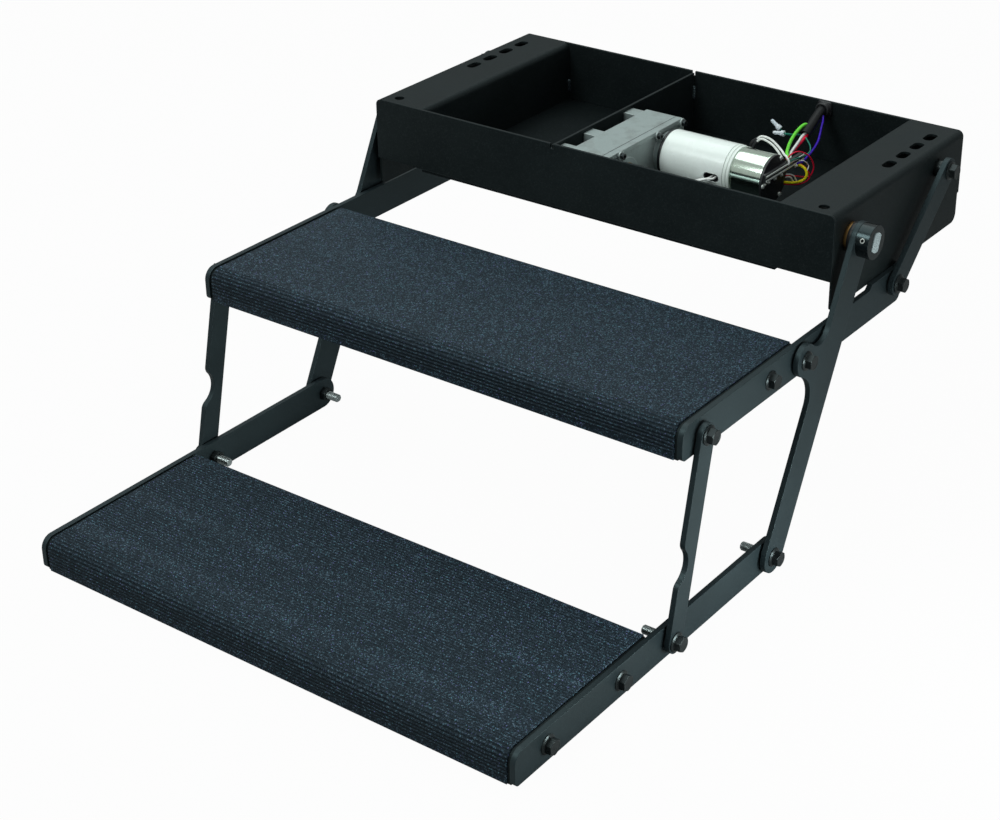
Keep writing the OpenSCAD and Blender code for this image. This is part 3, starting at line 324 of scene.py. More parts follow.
    def edges(self, radius: float) -> tuple[Socket, Socket]:
        """Softened edges.

        Args:
            radius: width of the softened band in metres.

        Returns:
            The softened normal, and a mask that is 1 on the edges.
        """
        soft = self.nodes.new("ShaderNodeBevel")
        soft.samples = 6
        soft.inputs["Radius"].default_value = radius
        flat = self.nodes.new("ShaderNodeNewGeometry").outputs["Normal"]
        turn = self.nodes.new("ShaderNodeVectorMath")
        turn.operation = "DOT_PRODUCT"
        self.links.new(flat, turn.inputs[0])
        self.links.new(soft.outputs["Normal"], turn.inputs[1])
        return soft.outputs["Normal"], self.span(turn.outputs["Value"], 0.985, 0.8, 0.0, 1.0)

    def bump(self, height: Socket, depth: float, normal: Socket | None = None, strength: float = 1.0) -> Socket:
        """Relief from a height.

        Args:
            height: height from 0 to 1.
            depth: what a height of 1 stands for, in metres.
            normal: the normal below the relief.
            strength: how much of the relief shows.

        Returns:
            The normal.
        """
        node = self.nodes.new("ShaderNodeBump")
        node.inputs["Strength"].default_value = strength
        node.inputs["Distance"].default_value = depth
        self.links.new(height, node.inputs["Height"])
        if normal is not None:
            self.links.new(normal, node.inputs["Normal"])
        return node.outputs["Normal"]


@dataclass(frozen=True)
class Finish:
    """A finish: its slot in the record, its main colour in linear light, its roughness and its label.

    A label names the material where two finishes share a slot.
    """

    slot: Slot
    colour: Colour
    roughness: float
    label: str = ""

    def material(self) -> bpy.types.Material:
        """Makes the material once and shares it.

        Returns:
            The finish's material.
        """
        name = f"finish_{self.label or self.slot.value}"
        if name not in bpy.data.materials:
            graph = Graph(name)
            graph.set("Base Color", self.colour)
            graph.set("Roughness", self.roughness)
            self.shade(graph)
        return bpy.data.materials[name]

    def shade(self, graph: Graph) -> None:
        """Adds the finish's own detail; the plain finish has none."""


@dataclass(frozen=True)
class PowderCoat(Finish):
    """Satin black powder coat: fine orange peel, light dust in clouds, thin coat on the edges."""

    dust: Colour = (0.0085, 0.0115, 0.0122)
    worn: Colour = (0.03, 0.037, 0.038)
    shine: float = 0.2
    sky: Colour = (0.7, 0.95, 1.0)
    edge: float = 0.0011
    peel: float = 0.00008

    def shade(self, graph: Graph) -> None:
        """Peel is two noises as relief; dust and roughness follow broad clouds; edges are paler."""
        soft, edge = graph.edges(self.edge)
        cloud = graph.noise(7.0, 4.0, 0.6)
        speck = graph.noise(1500.0, 2.0, 0.6)
        colour = graph.layer(self.colour, self.dust, cloud, 0.42, 0.72)
        colour = graph.layer(colour, self.worn, speck, 0.58, 0.76, 0.6)
        colour = graph.layer(colour, self.worn, graph.noise(560.0, 2.0, 0.7), 0.52, 0.8, 0.5)
        graph.feed("Base Color", graph.mix(graph.math("MULTIPLY", edge, 0.5), colour, self.worn))
        graph.gloss(cloud, self.roughness, 0.05, 0.07)
        graph.set("Specular IOR Level", self.shine)
        graph.set("Specular Tint", self.sky)
        peel = graph.math("ADD", graph.noise(700.0, 2.0), graph.math("MULTIPLY", speck, 0.5))
        graph.feed("Normal", graph.bump(peel, self.peel, soft, 0.55))


@dataclass(frozen=True)
class HubbedArm(PowderCoat):
    """The linkage's lit coat on an arm whose turned hub, past the outer face, is glossier and painted darker as shade.
    """

    outer_face: float = 0.32005
    fade: float = 0.0002
    # Painted shade: a near-black that stands in for the shade on the hub at the top of the arm
    hub: Colour = (0.002, 0.0026, 0.003)
    hub_rough: Colour = (0.24, 0.24, 0.24)

    def shade(self, graph: Graph) -> None:
        """The coat as on the other links; past the outer face it takes the hub's gloss and its painted shade."""
        super().shade(graph)
        along = graph.channel(graph.place, "Red")
        past = graph.span(along, self.outer_face, self.outer_face + self.fade, 0.0, 1.0)
        for socket, hub in (("Base Color", self.hub), ("Roughness", self.hub_rough)):
            coat = graph.shader.inputs[socket].links[0].from_socket
            graph.feed(socket, graph.mix(past, coat, hub))


@dataclass(frozen=True)
class BlackFastener(Finish):
    """Glossy black coated bolts with a grey cast where the coat is thin."""

    cast: Colour = (0.013, 0.014, 0.015)
    rubbed: Colour = (0.05, 0.055, 0.055)
    shine: float = 0.36
    sky: Colour = (0.8, 0.97, 1.0)
    edge: float = 0.0005
    relief: float = 0.00005

    def shade(self, graph: Graph) -> None:
        """The cast lies in clouds over the black, and the edges are rubbed pale."""
        soft, edge = graph.edges(self.edge)
        cloud = graph.noise(90.0, 3.0, 0.6)
        colour = graph.layer(self.colour, self.cast, cloud, 0.45, 0.75, 0.8)
        graph.feed("Base Color", graph.mix(graph.math("MULTIPLY", edge, 0.5), colour, self.rubbed))
        graph.gloss(cloud, self.roughness, 0.08, 0.1)
        graph.set("Specular IOR Level", self.shine)
        graph.set("Specular Tint", self.sky)
        graph.feed("Normal", graph.bump(graph.noise(1200.0, 2.0), self.relief, soft, 0.4))


class Grain(Enum):
    """Directions of the tool marks on bare metal."""

    NONE = (1.0, 1.0, 1.0)
    ROUND = (900.0, 40.0, 40.0)


@dataclass(frozen=True)
class BareMetal(Finish):
    """Bare or plated metal with fine tool marks and dull patches."""

    dull: Colour = (0.3, 0.3, 0.28)
    grain: Grain = Grain.NONE
    marks: float = 0.4
    metal: float = 1.0
    edge: float = 0.0004
    relief: float = 0.00004

    def shade(self, graph: Graph) -> None:
        """Tool marks are noise drawn out along the grain; dull patches follow broad clouds."""
        soft, _ = graph.edges(self.edge)
        cloud = graph.noise(60.0, 4.0, 0.65)
        graph.feed("Base Color", graph.layer(self.colour, self.dull, cloud, 0.45, 0.8, 0.6))
        graph.set("Metallic", self.metal)
        scale = 900.0 if self.grain is Grain.NONE else 1.0
        lines = graph.noise(scale, 3.0, 0.6, graph.stretched(self.grain.value))
        rough = graph.math("ADD", graph.span(lines, 0.3, 0.7, -0.06, 0.08), graph.span(cloud, 0.3, 0.7, 0.0, 0.08))
        graph.feed("Roughness", graph.math("ADD", rough, self.roughness))
        graph.feed("Normal", graph.bump(lines, self.relief, soft, self.marks))


@dataclass(frozen=True)
class DrawnSteel(Finish):
    """Bright drawn steel with fine lines around it and a faint green film."""

    film: Colour = (0.62, 0.74, 0.62)
    edge: float = 0.0004
    relief: float = 0.00002

    def shade(self, graph: Graph) -> None:
        """The lines are noise drawn out around the motor's axis; they tint the steel and change its gloss."""
        soft, _ = graph.edges(self.edge)
        lines = graph.noise(1.0, 3.0, 0.6, graph.stretched(Grain.ROUND.value))
        graph.feed("Base Color", graph.layer(self.colour, self.film, lines, 0.35, 0.65))
        graph.set("Metallic", 1.0)
        graph.gloss(lines, self.roughness, 0.02, 0.03)
        graph.feed("Normal", graph.bump(lines, self.relief, soft, 0.03))


@dataclass(frozen=True)
class SandCast(Finish):
    """Sand cast aluminium: grainy skin, grey stains, paler edges."""

    stain: Colour = (0.2, 0.21, 0.205)
    pale: Colour = (0.56, 0.58, 0.57)
    metal: float = 0.55
    edge: float = 0.0014
    relief: float = 0.00016

    def shade(self, graph: Graph) -> None:
        """Two grain sizes as relief; stains follow warped clouds; edges are rubbed pale."""
        soft, edge = graph.edges(self.edge)
        cloud = graph.noise(26.0, 5.0, 0.62)
        grain = graph.noise(1300.0, 3.0, 0.65)
        colour = graph.layer(self.colour, self.stain, cloud, 0.48, 0.7, 0.75)
        colour = graph.layer(colour, self.pale, grain, 0.55, 0.75, 0.5)
        graph.feed("Base Color", graph.mix(graph.math("MULTIPLY", edge, 0.6), colour, self.pale))
        graph.set("Metallic", self.metal)
        graph.gloss(cloud, self.roughness, 0.08, 0.08)
        height = graph.math("ADD", grain, graph.math("MULTIPLY", graph.noise(420.0, 2.0), 0.8))
        graph.feed("Normal", graph.bump(height, self.relief, soft, 0.6))


@dataclass(frozen=True)
class GlossPaint(Finish):
    """Gloss white paint with a faint peel and handling marks."""

    tint: Colour = (0.76, 0.83, 0.79)
    coat: float = 0.35
    coat_rough: float = 0.12
    edge: float = 0.0008
    relief: float = 0.00005

    def shade(self, graph: Graph) -> None:
        """A faint grey-green tint in clouds, a soft peel and a clear coat."""
        soft, _ = graph.edges(self.edge)
        cloud = graph.noise(22.0, 4.0, 0.6)
        graph.feed("Base Color", graph.layer(self.colour, self.tint, cloud, 0.4, 0.8, 0.7))
        graph.gloss(cloud, self.roughness, 0.04, 0.08)
        graph.set("Coat Weight", self.coat)
        graph.set("Coat Roughness", self.coat_rough)
        graph.feed("Normal", graph.bump(graph.noise(320.0, 2.0), self.relief, soft, 0.35))


@dataclass(frozen=True)
class Moulded(Finish):
    """Moulded plastic with a spark-eroded skin."""

    shade_to: Colour = (0.03, 0.03, 0.032)
    shine: float = 0.5
    edge: float = 0.0005
    relief: float = 0.00005

    def shade(self, graph: Graph) -> None:
        """Fine grains as relief, colour and roughness in broad clouds."""
        soft, _ = graph.edges(self.edge)
        cloud = graph.noise(45.0, 3.0, 0.55)
        graph.feed("Base Color", graph.layer(self.colour, self.shade_to, cloud, 0.35, 0.75))
        graph.gloss(cloud, self.roughness, 0.06, 0.08)
        graph.set("Specular IOR Level", self.shine)
        graph.feed("Normal", graph.bump(graph.grains(1500.0, "Distance"), self.relief, soft, 0.5))


@dataclass(frozen=True)
class ClearNylon(Finish):
    """Milky clear nylon of the crimp caps."""

    milk: Colour = (0.74, 0.84, 0.95)
    clear: float = 0.3
    ior: float = 1.5
    relief: float = 0.0001

    def shade(self, graph: Graph) -> None:
        """Part of the light passes; clouds make it milky."""
        cloud = graph.noise(300.0, 3.0)
        graph.feed("Base Color", graph.layer(self.colour, self.milk, cloud, 0.3, 0.7))
        graph.gloss(cloud, self.roughness, 0.05, 0.1)
        graph.set("Transmission Weight", self.clear)
        graph.set("IOR", self.ior)
        graph.feed("Normal", graph.bump(cloud, self.relief, strength=0.3))


@dataclass(frozen=True)
class Insulation(Finish):
    """Soft wire insulation with faint scuffs."""

    scuff: float = 0.72
    shine: float = 0.25
    relief: float = 0.00004

    def shade(self, graph: Graph) -> None:
        """Scuffs darken and dull the colour in small clouds."""
        dark = tuple(self.scuff * c for c in self.colour)
        cloud = graph.noise(240.0, 3.0, 0.6)
        graph.feed("Base Color", graph.layer(self.colour, dark, cloud, 0.42, 0.75, 0.8))
        graph.gloss(cloud, self.roughness, 0.05, 0.15)
        graph.set("Specular IOR Level", self.shine)
        graph.feed("Normal", graph.bump(graph.noise(900.0, 2.0), self.relief, strength=0.4))


@dataclass(frozen=True)
class SpeckledCover(Finish):
    """Grit tread cover: dark blue-grey grains, with pale, teal and violet ones strewn in."""

    deep: Colour = (0.006, 0.0095, 0.0135)
    pale: Colour = (0.07, 0.105, 0.145)
    teal: Colour = (0.1, 0.22, 0.28)
    violet: Colour = (0.16, 0.17, 0.4)
    glint: Colour = (0.15, 0.23, 0.3)
    # Painted shade: the near-black that the mesh's groove value lays over the grains
    groove: Colour = (0.0015, 0.0022, 0.003)
    count: float = 1080.0
    glint_share: float = 0.72
    shine: float = 0.3
    sky: Colour = (0.62, 0.85, 1.0)
    relief: float = 0.0004

    def shade(self, graph: Graph) -> None:
        """Each grain is a cell of about a millimetre; its random value picks its colour and height.

        Where the mesh's groove value is high, a painted shade darkens the colours and the grains are worn low.
        """
        fine = graph.grains(self.count)
        pick = graph.channel(fine, "Red")
        other = graph.channel(fine, "Green")
        cloud = graph.noise(18.0, 3.0, 0.6)
        colour = graph.layer(self.deep, self.colour, pick, 0.15, 0.75)
        colour = graph.layer(colour, self.pale, pick, 0.8, 0.95, 0.85)
        colour = graph.layer(colour, self.teal, other, 0.965, 0.97, 0.9)
        colour = graph.layer(colour, self.violet, other, 0.012, 0.008, 0.9)
        colour = graph.layer(colour, self.deep, cloud, 0.4, 0.75, 0.3)
        spark = graph.channel(graph.grains(self.count * self.glint_share), "Blue")
        colour = graph.layer(colour, self.glint, spark, 0.955, 0.965, 0.5)
        # The mesh's groove value is painted shade: in the grooves between ribs, on the nose and on plain lengths
        groove_shade = graph.attribute("groove")
        graph.feed("Base Color", graph.mix(groove_shade, colour, self.groove))
        graph.feed("Roughness", graph.span(pick, 0.0, 1.0, self.roughness + 0.06, self.roughness - 0.12))
        graph.set("Specular IOR Level", self.shine)
        graph.set("Specular Tint", self.sky)
        dome = graph.math("SUBTRACT", 1.0, graph.grains(self.count, "Distance"))
        height = graph.math("ADD", graph.math("MULTIPLY", dome, 0.5), graph.math("MULTIPLY", pick, 0.5))
        worn = graph.span(groove_shade, 0.2, 0.6, 1.0, 0.3)
        graph.feed("Normal", graph.bump(graph.math("MULTIPLY", height, worn), self.relief, strength=0.7))


STEEL = PowderCoat(Slot.STEEL, (0.0045, 0.0062, 0.0068), 0.5)
# Painted light: a lighter, bluer copy of the black coat for the arms, links and rails, so that their sides look lit
LIT_LINK = PowderCoat(
    Slot.STEEL, (0.0078, 0.0118, 0.014), 0.46, "linkage_coat_lit", dust=(0.0125, 0.0188, 0.022), worn=(0.026, 0.038, 0.043),
    shine=0.4,
)
HUBBED = HubbedArm(
    Slot.STEEL, LIT_LINK.colour, LIT_LINK.roughness, "hubbed_arm", dust=LIT_LINK.dust, worn=LIT_LINK.worn, shine=LIT_LINK.shine,
)
# The weld beads' glossier coat is their own; its lighter colour is painted highlight
LIT_WELD = PowderCoat(Slot.STEEL, (0.012, 0.015, 0.02), 0.2, "weld_coat_lit", dust=(0.02, 0.024, 0.03), shine=0.8)
# Painted shade: a darker, duller copy of the black coat for the floor pan inside the box
SHADED_INNER = PowderCoat(Slot.STEEL, (0.004, 0.0055, 0.006), 0.55, "inner_coat_shaded", dust=(0.006, 0.008, 0.0085), shine=0.08)
FASTENER = BlackFastener(Slot.FASTENER, (0.006, 0.007, 0.0075), 0.32)
ZINC = BareMetal(Slot.ZINC, (0.6, 0.66, 0.66), 0.24, dull=(0.36, 0.41, 0.41), grain=Grain.ROUND)
CAN = DrawnSteel(Slot.ZINC, (0.78, 0.88, 0.78), 0.13, "drawn_can")
TIN = BareMetal(Slot.ZINC, (0.82, 0.87, 0.83), 0.2, "tinned", dull=(0.66, 0.7, 0.66), metal=0.45)
GROUND = BareMetal(Slot.ZINC, (0.68, 0.79, 0.82), 0.22, "ground_shaft", dull=(0.4, 0.5, 0.54), metal=0.6)
GEAR = BareMetal(Slot.GEAR, (0.42, 0.43, 0.45), 0.34)
BRONZE = BareMetal(Slot.BRONZE, (0.4, 0.23, 0.085), 0.36, dull=(0.22, 0.12, 0.04), grain=Grain.ROUND, marks=0.6)
ALLOY = SandCast(Slot.ALLOY, (0.345, 0.405, 0.4), 0.5)
PAINT = GlossPaint(Slot.PAINT, (0.88, 0.93, 0.9), 0.26)
WHITE_PLASTIC = Moulded(Slot.WHITE_PLASTIC, (0.88, 0.94, 0.89), 0.36, shade_to=(0.78, 0.85, 0.8))
BLACK_PLASTIC = Moulded(Slot.BLACK_PLASTIC, (0.009, 0.01, 0.012), 0.4, shade_to=(0.016, 0.017, 0.019))
HOSE = Moulded(
    Slot.BLACK_PLASTIC, (0.003, 0.0036, 0.0045), 0.45, "hose_rubber", shade_to=(0.006, 0.007, 0.0085), shine=0.22,
)
CLEAR = ClearNylon(Slot.CLEAR, (0.93, 0.97, 1.0), 0.25)
WHITE = Insulation(Slot.WHITE, (0.82, 0.83, 0.81), 0.36)
GREEN = Insulation(Slot.GREEN, (0.16, 0.76, 0.05), 0.36)
RED = Insulation(Slot.RED, (0.76, 0.006, 0.045), 0.36)
PURPLE = Insulation(Slot.PURPLE, (0.045, 0.006, 0.46), 0.36)
TEAL = Insulation(Slot.TEAL, (0.008, 0.19, 0.13), 0.38)
YELLOW = Insulation(Slot.YELLOW, (0.96, 0.84, 0.008), 0.36)
COVER = SpeckledCover(Slot.COVER, (0.0112, 0.0195, 0.0315), 0.66)
# Nodes whose finish isn't their slot's own, by the start of their names; the first that fits is taken
# The linkage takes the lit copy of the black coat (painted light), the floor pan a darker copy (painted shade)
COATS = {
    "drive_arm_right": HUBBED, "drive_arm": LIT_LINK, "rear_link": LIT_LINK, "front_link": LIT_LINK, "upper_rail": LIT_LINK,
    "lower_rail": LIT_LINK, "floor_pan": SHADED_INNER, "drive_shaft": GROUND,
}
FINISHES = {
    finish.slot: finish
    for finish in (
        STEEL, FASTENER, ZINC, GEAR, BRONZE, ALLOY, PAINT, WHITE_PLASTIC, BLACK_PLASTIC, CLEAR,
        WHITE, GREEN, RED, PURPLE, TEAL, YELLOW, COVER,
    )
}


# Surfaces


def grid_faces(rows: int, cols: int, wrap_rows: bool = False, wrap_cols: bool = False) -> Array:
    """Four-cornered faces of a grid, whose outside is along (column way) x (row way).

    Args:
        rows: number of rows.
        cols: number of columns.
        wrap_rows: whether the last row joins the first.
        wrap_cols: whether the last column joins the first.

    Returns:
        Corner numbers, one face in each row.
    """
    index = np.arange(rows * cols).reshape(rows, cols)
    if wrap_rows:
        index = np.vstack([index, index[:1]])
    if wrap_cols:
        index = np.hstack([index, index[:, :1]])
    return np.stack([index[:-1, :-1], index[:-1, 1:], index[1:, 1:], index[1:, :-1]], -1).reshape(-1, 4)


def unit(v: Array) -> Array:
    """Vectors along the last axis, made one long."""
    return v / np.linalg.norm(v, axis=-1, keepdims=True)


def cross_ways(axis: Array) -> tuple[Array, Array]:
    """Two ways square to an axis and to each other, right-handed.

    Args:
        axis: the axis, one long.

    Returns:
        The two ways u and v, with u x v along the axis.
    """
    away = np.eye(3)[(int(np.argmax(np.abs(axis))) + 1) % 3]
    u = unit(away - axis * (away @ axis))
    return u, np.cross(axis, u)


def fillet(corners: Array, radius: Array | float, steps: int = 4, closed: bool = False) -> Array:
    """Rounds the corners of a flat line.

    At a corner p with unit ways a and b to its neighbours, half the opening is h. The arc of radius r touches both
    sides at r / tan(h) from p, its middle is p + unit(a + b) r / sin(h), and its points turn evenly from one side to
    the other.

    Args:
        corners: (n, 2) corners.
        radius: one radius, or one for each corner.
        steps: points less one on each arc.
        closed: whether the last corner joins the first; an open line keeps its two ends.

    Returns:
        (m, 2) points.
    """
    corners = np.asarray(corners, float)
    r = np.broadcast_to(np.asarray(radius, float), len(corners))[:, None]
    a = unit(np.roll(corners, 1, 0) - corners)
    b = unit(np.roll(corners, -1, 0) - corners)
    half = np.arccos(np.clip((a * b).sum(1), -0.999999, 0.999999))[:, None] / 2
    middle = corners + unit(a + b) * r / np.sin(half)
    start = corners + a * r / np.tan(half) - middle
    end = corners + b * r / np.tan(half) - middle
    turn = np.pi - 2 * half
    t = np.linspace(0, 1, steps + 1)[None, :, None]
    way = (np.sin((1 - t) * turn[:, None]) * start[:, None] + np.sin(t * turn[:, None]) * end[:, None])
    points = middle[:, None] + way / np.sin(turn)[:, None]
    if closed:
        return points.reshape(-1, 2)
    return np.vstack([corners[:1], points[1:-1].reshape(-1, 2), corners[-1:]])


def smooth_line(route: Sequence[Point], steps: int = 10) -> Array:
    """A smooth line through points.

    Between two points it is the cubic with their places and ways; a point's way is the step between its neighbours
    over their chord time, and chord time grows with the square root of the distance.

    Args:
        route: the points.
        steps: points on each stretch.

    Returns:
        (m, 3) points.
    """
    p = np.asarray(route, float)
    h = np.sqrt(np.linalg.norm(np.diff(p, axis=0), axis=1))
    way = np.empty_like(p)
    way[1:-1] = (p[2:] - p[:-2]) / (h[1:] + h[:-1])[:, None]
    way[0], way[-1] = (p[1] - p[0]) / h[0], (p[-1] - p[-2]) / h[-1]
    t = np.linspace(0, 1, steps, endpoint=False)[None, :, None]
    h = h[:, None, None]
    line = (
        (2 * t**3 - 3 * t**2 + 1) * p[:-1, None] + (t**3 - 2 * t**2 + t) * h * way[:-1, None]
        + (3 * t**2 - 2 * t**3) * p[1:, None] + (t**3 - t**2) * h * way[1:, None]
    )
    return np.vstack([line.reshape(-1, 3), p[-1:]])


def tube_grid(line: Array, radius: Array | float, count: int = 14) -> Array:
    """A round tube: each ring is middle + radius (cos a side + sin a lift), square to the line's way.

    Args:
        line: (m, 3) middle line.
        radius: one radius, or one for each point.
        count: points in a ring.

    Returns:
        (m, count, 3) grid.
    """
    way = unit(np.gradient(line, axis=0))
    choices = unit(np.array([(0, 0, 1), (0, 1, 0), (1, 0, 0), (1, 1, 1), (1, -1, 1), (-1, 1, 1)], float))
    clear = np.linalg.norm(np.cross(way[None], choices[:, None]), axis=-1).min(1)
    side = unit(np.cross(way, choices[int(np.argmax(clear))]))
    lift = np.cross(way, side)
    a = np.linspace(0, 2 * np.pi, count, endpoint=False)[None, :, None]
    r = np.broadcast_to(np.asarray(radius, float), len(line))[:, None, None]
    return line[:, None] + r * (np.cos(a) * side[:, None] + np.sin(a) * lift[:, None])


class Skin:
    """Patches of surface that become one mesh."""

    def __init__(self) -> None:
        """Starts with no patch."""
        self.points: list[Array] = []
        self.faces: list[Array] = []
        self.finish: list[Array] = []
        self.count = 0

    def add(self, points: Array, faces: Sequence[Array], finish: int = 0) -> None:
        """Adds a patch.

        Args:
            points: points in millimetres.
            faces: arrays of corner numbers, each of one corner count.
            finish: which of the piece's finishes it takes.
        """
        self.points.append(points.reshape(-1, 3))
        self.faces.extend(f + self.count for f in faces)
        self.finish.extend(np.full(len(f), finish) for f in faces)
        self.count += points.size // 3

    def grid(self, grid: Array, wrap_rows: bool = False, wrap_cols: bool = False, finish: int = 0) -> None:
        """Adds a grid of points.

        Args:
            grid: (rows, cols, 3) points.
            wrap_rows: whether the last row joins the first.
            wrap_cols: whether the last column joins the first.
            finish: which of the piece's finishes it takes.
        """
        self.add(grid, [grid_faces(*grid.shape[:2], wrap_rows, wrap_cols)], finish)

    def cap(self, ring: Array, outward: bool, finish: int = 0) -> None:
        """Closes a ring with a fan from its middle.

        Args:
            ring: (n, 3) points.
            outward: whether the ring runs with the sun seen from outside the piece.
            finish: which of the piece's finishes it takes.
        """
        self.fan(ring, ring.mean(0), outward, finish)

    def lathe(self, profile: Array, at: Point, axis: Point = (1, 0, 0), count: int = 48, closed: bool = False,
              finish: int = 0) -> None:
        """Turns a profile about an axis: at + axis along + radius (cos a u + sin a v).

        Args:
            profile: (n, 2) pairs of length along the axis and radius; a radius of 0 at an end closes it.
            at: where the axis starts.
            axis: the axis.
            count: points around.
            closed: whether the profile closes on itself, as a ring's does.
            finish: which of the piece's finishes it takes.
        """
        profile = np.asarray(profile, float)
        way = unit(np.asarray(axis, float))
        u, v = cross_ways(way)
        a = np.linspace(0, 2 * np.pi, count, endpoint=False)
        spoke = np.cos(a)[:, None] * u + np.sin(a)[:, None] * v
        middle = np.asarray(at, float) + profile[:, :1] * way
        poles = [k for k in (0, -1) if profile[k, 1] == 0 and not closed]
        body = profile[:, 1] > 0 if poles else np.ones(len(profile), bool)
        rings = middle[body, None] + profile[body, 1, None, None] * spoke
        self.grid(rings, wrap_rows=closed, wrap_cols=True, finish=finish)
        if 0 in poles:
            self.fan(rings[0], middle[0], True, finish)
        if -1 in poles:
            self.fan(rings[-1], middle[-1], False, finish)

    def fan(self, ring: Array, tip: Array, low: bool, finish: int = 0) -> None:
        """Joins a ring to a point, such as the tip of an axis.

        Args:
            ring: (n, 3) points that turn about the axis.
            tip: the point.
            low: whether the point lies at the low end of the axis.
            finish: which of the piece's finishes it takes.
        """
        n = len(ring)
        k = np.arange(n)
        fan = np.stack([np.full(n, n), k, (k + 1) % n], -1)
        self.add(np.vstack([ring, tip]), [fan[:, ::-1] if low else fan], finish)

    def tube(self, line: Array, radius: Array | float, finish: int = 0) -> None:
        """Adds a round tube with closed ends.

        Args:
            line: (m, 3) middle line.
            radius: one radius, or one for each point.
            finish: which of the piece's finishes it takes.
        """
        rings = tube_grid(line, radius)
        self.grid(rings, wrap_cols=True, finish=finish)
        self.fan(rings[0], line[0], True, finish)
        self.fan(rings[-1], line[-1], False, finish)

    def bar(self, rings: Array) -> None:
        """Adds a bar with closed ends.

        Args:
            rings: (m, n, 3) sections that follow each other along Y.
        """
        self.grid(rings[:, ::-1], wrap_cols=True)
        self.cap(rings[0], True)
        self.cap(rings[-1], False)

    def mirrored(self) -> None:
        """Adds the same patches on the other side, x turned to -x and the faces turned over."""
        points = np.concatenate(self.points) * (-1, 1, 1)
        faces, finish = [f[:, ::-1] + self.count for f in self.faces], [f.copy() for f in self.finish]
        self.points.append(points)
        self.faces += faces
        self.finish += finish
        self.count += len(points)

    def build(self, name: str, body: Body, finishes: Sequence[Finish], stands_for: Sequence[str] = (),
              sharp: float = 40.0) -> bpy.types.Object:
        """Makes the mesh object and hangs it on its body.

        Args:
            name: the piece's name.
            body: the body that it rides on.
            finishes: its finishes, the main one first.
            stands_for: CAD nodes that it replaces.
            sharp: angle from which an edge stays sharp, in degrees.

        Returns:
            The piece.
        """
        mesh = bpy.data.meshes.new(name)
        corners = np.concatenate([np.full(len(f), f.shape[1]) for f in self.faces])
        loops = np.concatenate([f.reshape(-1) for f in self.faces])
        points = np.concatenate(self.points) * MM
        mesh.vertices.add(len(points))
        mesh.vertices.foreach_set("co", points.astype(np.float32).ravel())
        mesh.loops.add(len(loops))
        mesh.loops.foreach_set("vertex_index", loops.astype(np.int32))
        mesh.polygons.add(len(corners))
        mesh.polygons.foreach_set("loop_start", (np.cumsum(corners) - corners).astype(np.int32))
        mesh.polygons.foreach_set("material_index", np.concatenate(self.finish).astype(np.int32))
        mesh.update(calc_edges=True)
        mesh.validate()
        mesh.shade_smooth()
        mesh.set_sharp_from_angle(angle=math.radians(sharp))
        for finish in finishes:
            mesh.materials.append(finish.material())
        piece = bpy.data.objects.new(name, mesh)
        bpy.context.scene.collection.objects.link(piece)
        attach(piece, body.value)
        if stands_for:
            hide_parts(*stands_for)
        log.info("%s: %d points, rides on %s", name, len(points), body.value)
        return piece


# The step


@dataclass
class Layout:
    """Places that several pieces share."""

    wall_x: float = 305.0
    rail_x: float = 305.5
    rail_t: float = 6.0
    link_x: float = 314.0
    link_gap: float = 0.3
    head_x: float = 320.3
    bay_x: float = 235.0
    bay_front: float = -14.0
    bay_rear: float = 278.0
    shaft: Place = (19.0, -34.0)
    rear: Place = (219.0, -24.0)
    ear: Place = (-88.0, -130.5)
    tail: Place = (112.0, -120.5)
    front: Place = (-277.0, -130.5)
    arm_end: Place = (-136.0, -341.5)
    link_end: Place = (-325.0, -341.5)
    upper_bolt: Place = (-146.0, -130.5)
    lower_bolts: tuple[Place, Place] = ((-409.0, -341.5), (-529.0, -341.5))
    motor: Place = (107.25, -34.0)


@dataclass(frozen=True)
class Tread:
    """A tread's cover: the node that it stands for, its step, y of its nose and rear edge, and z of its top."""

    node: str
    body: Body
    front: float
    rear: float
    top: float


UPPER_TREAD = Tread("upper_tread_cover", Body.UPPER, -310.0, -92.0, -112.0)
LOWER_TREAD = Tread("lower_tread_cover", Body.LOWER, -579.0, -355.0, -323.0)


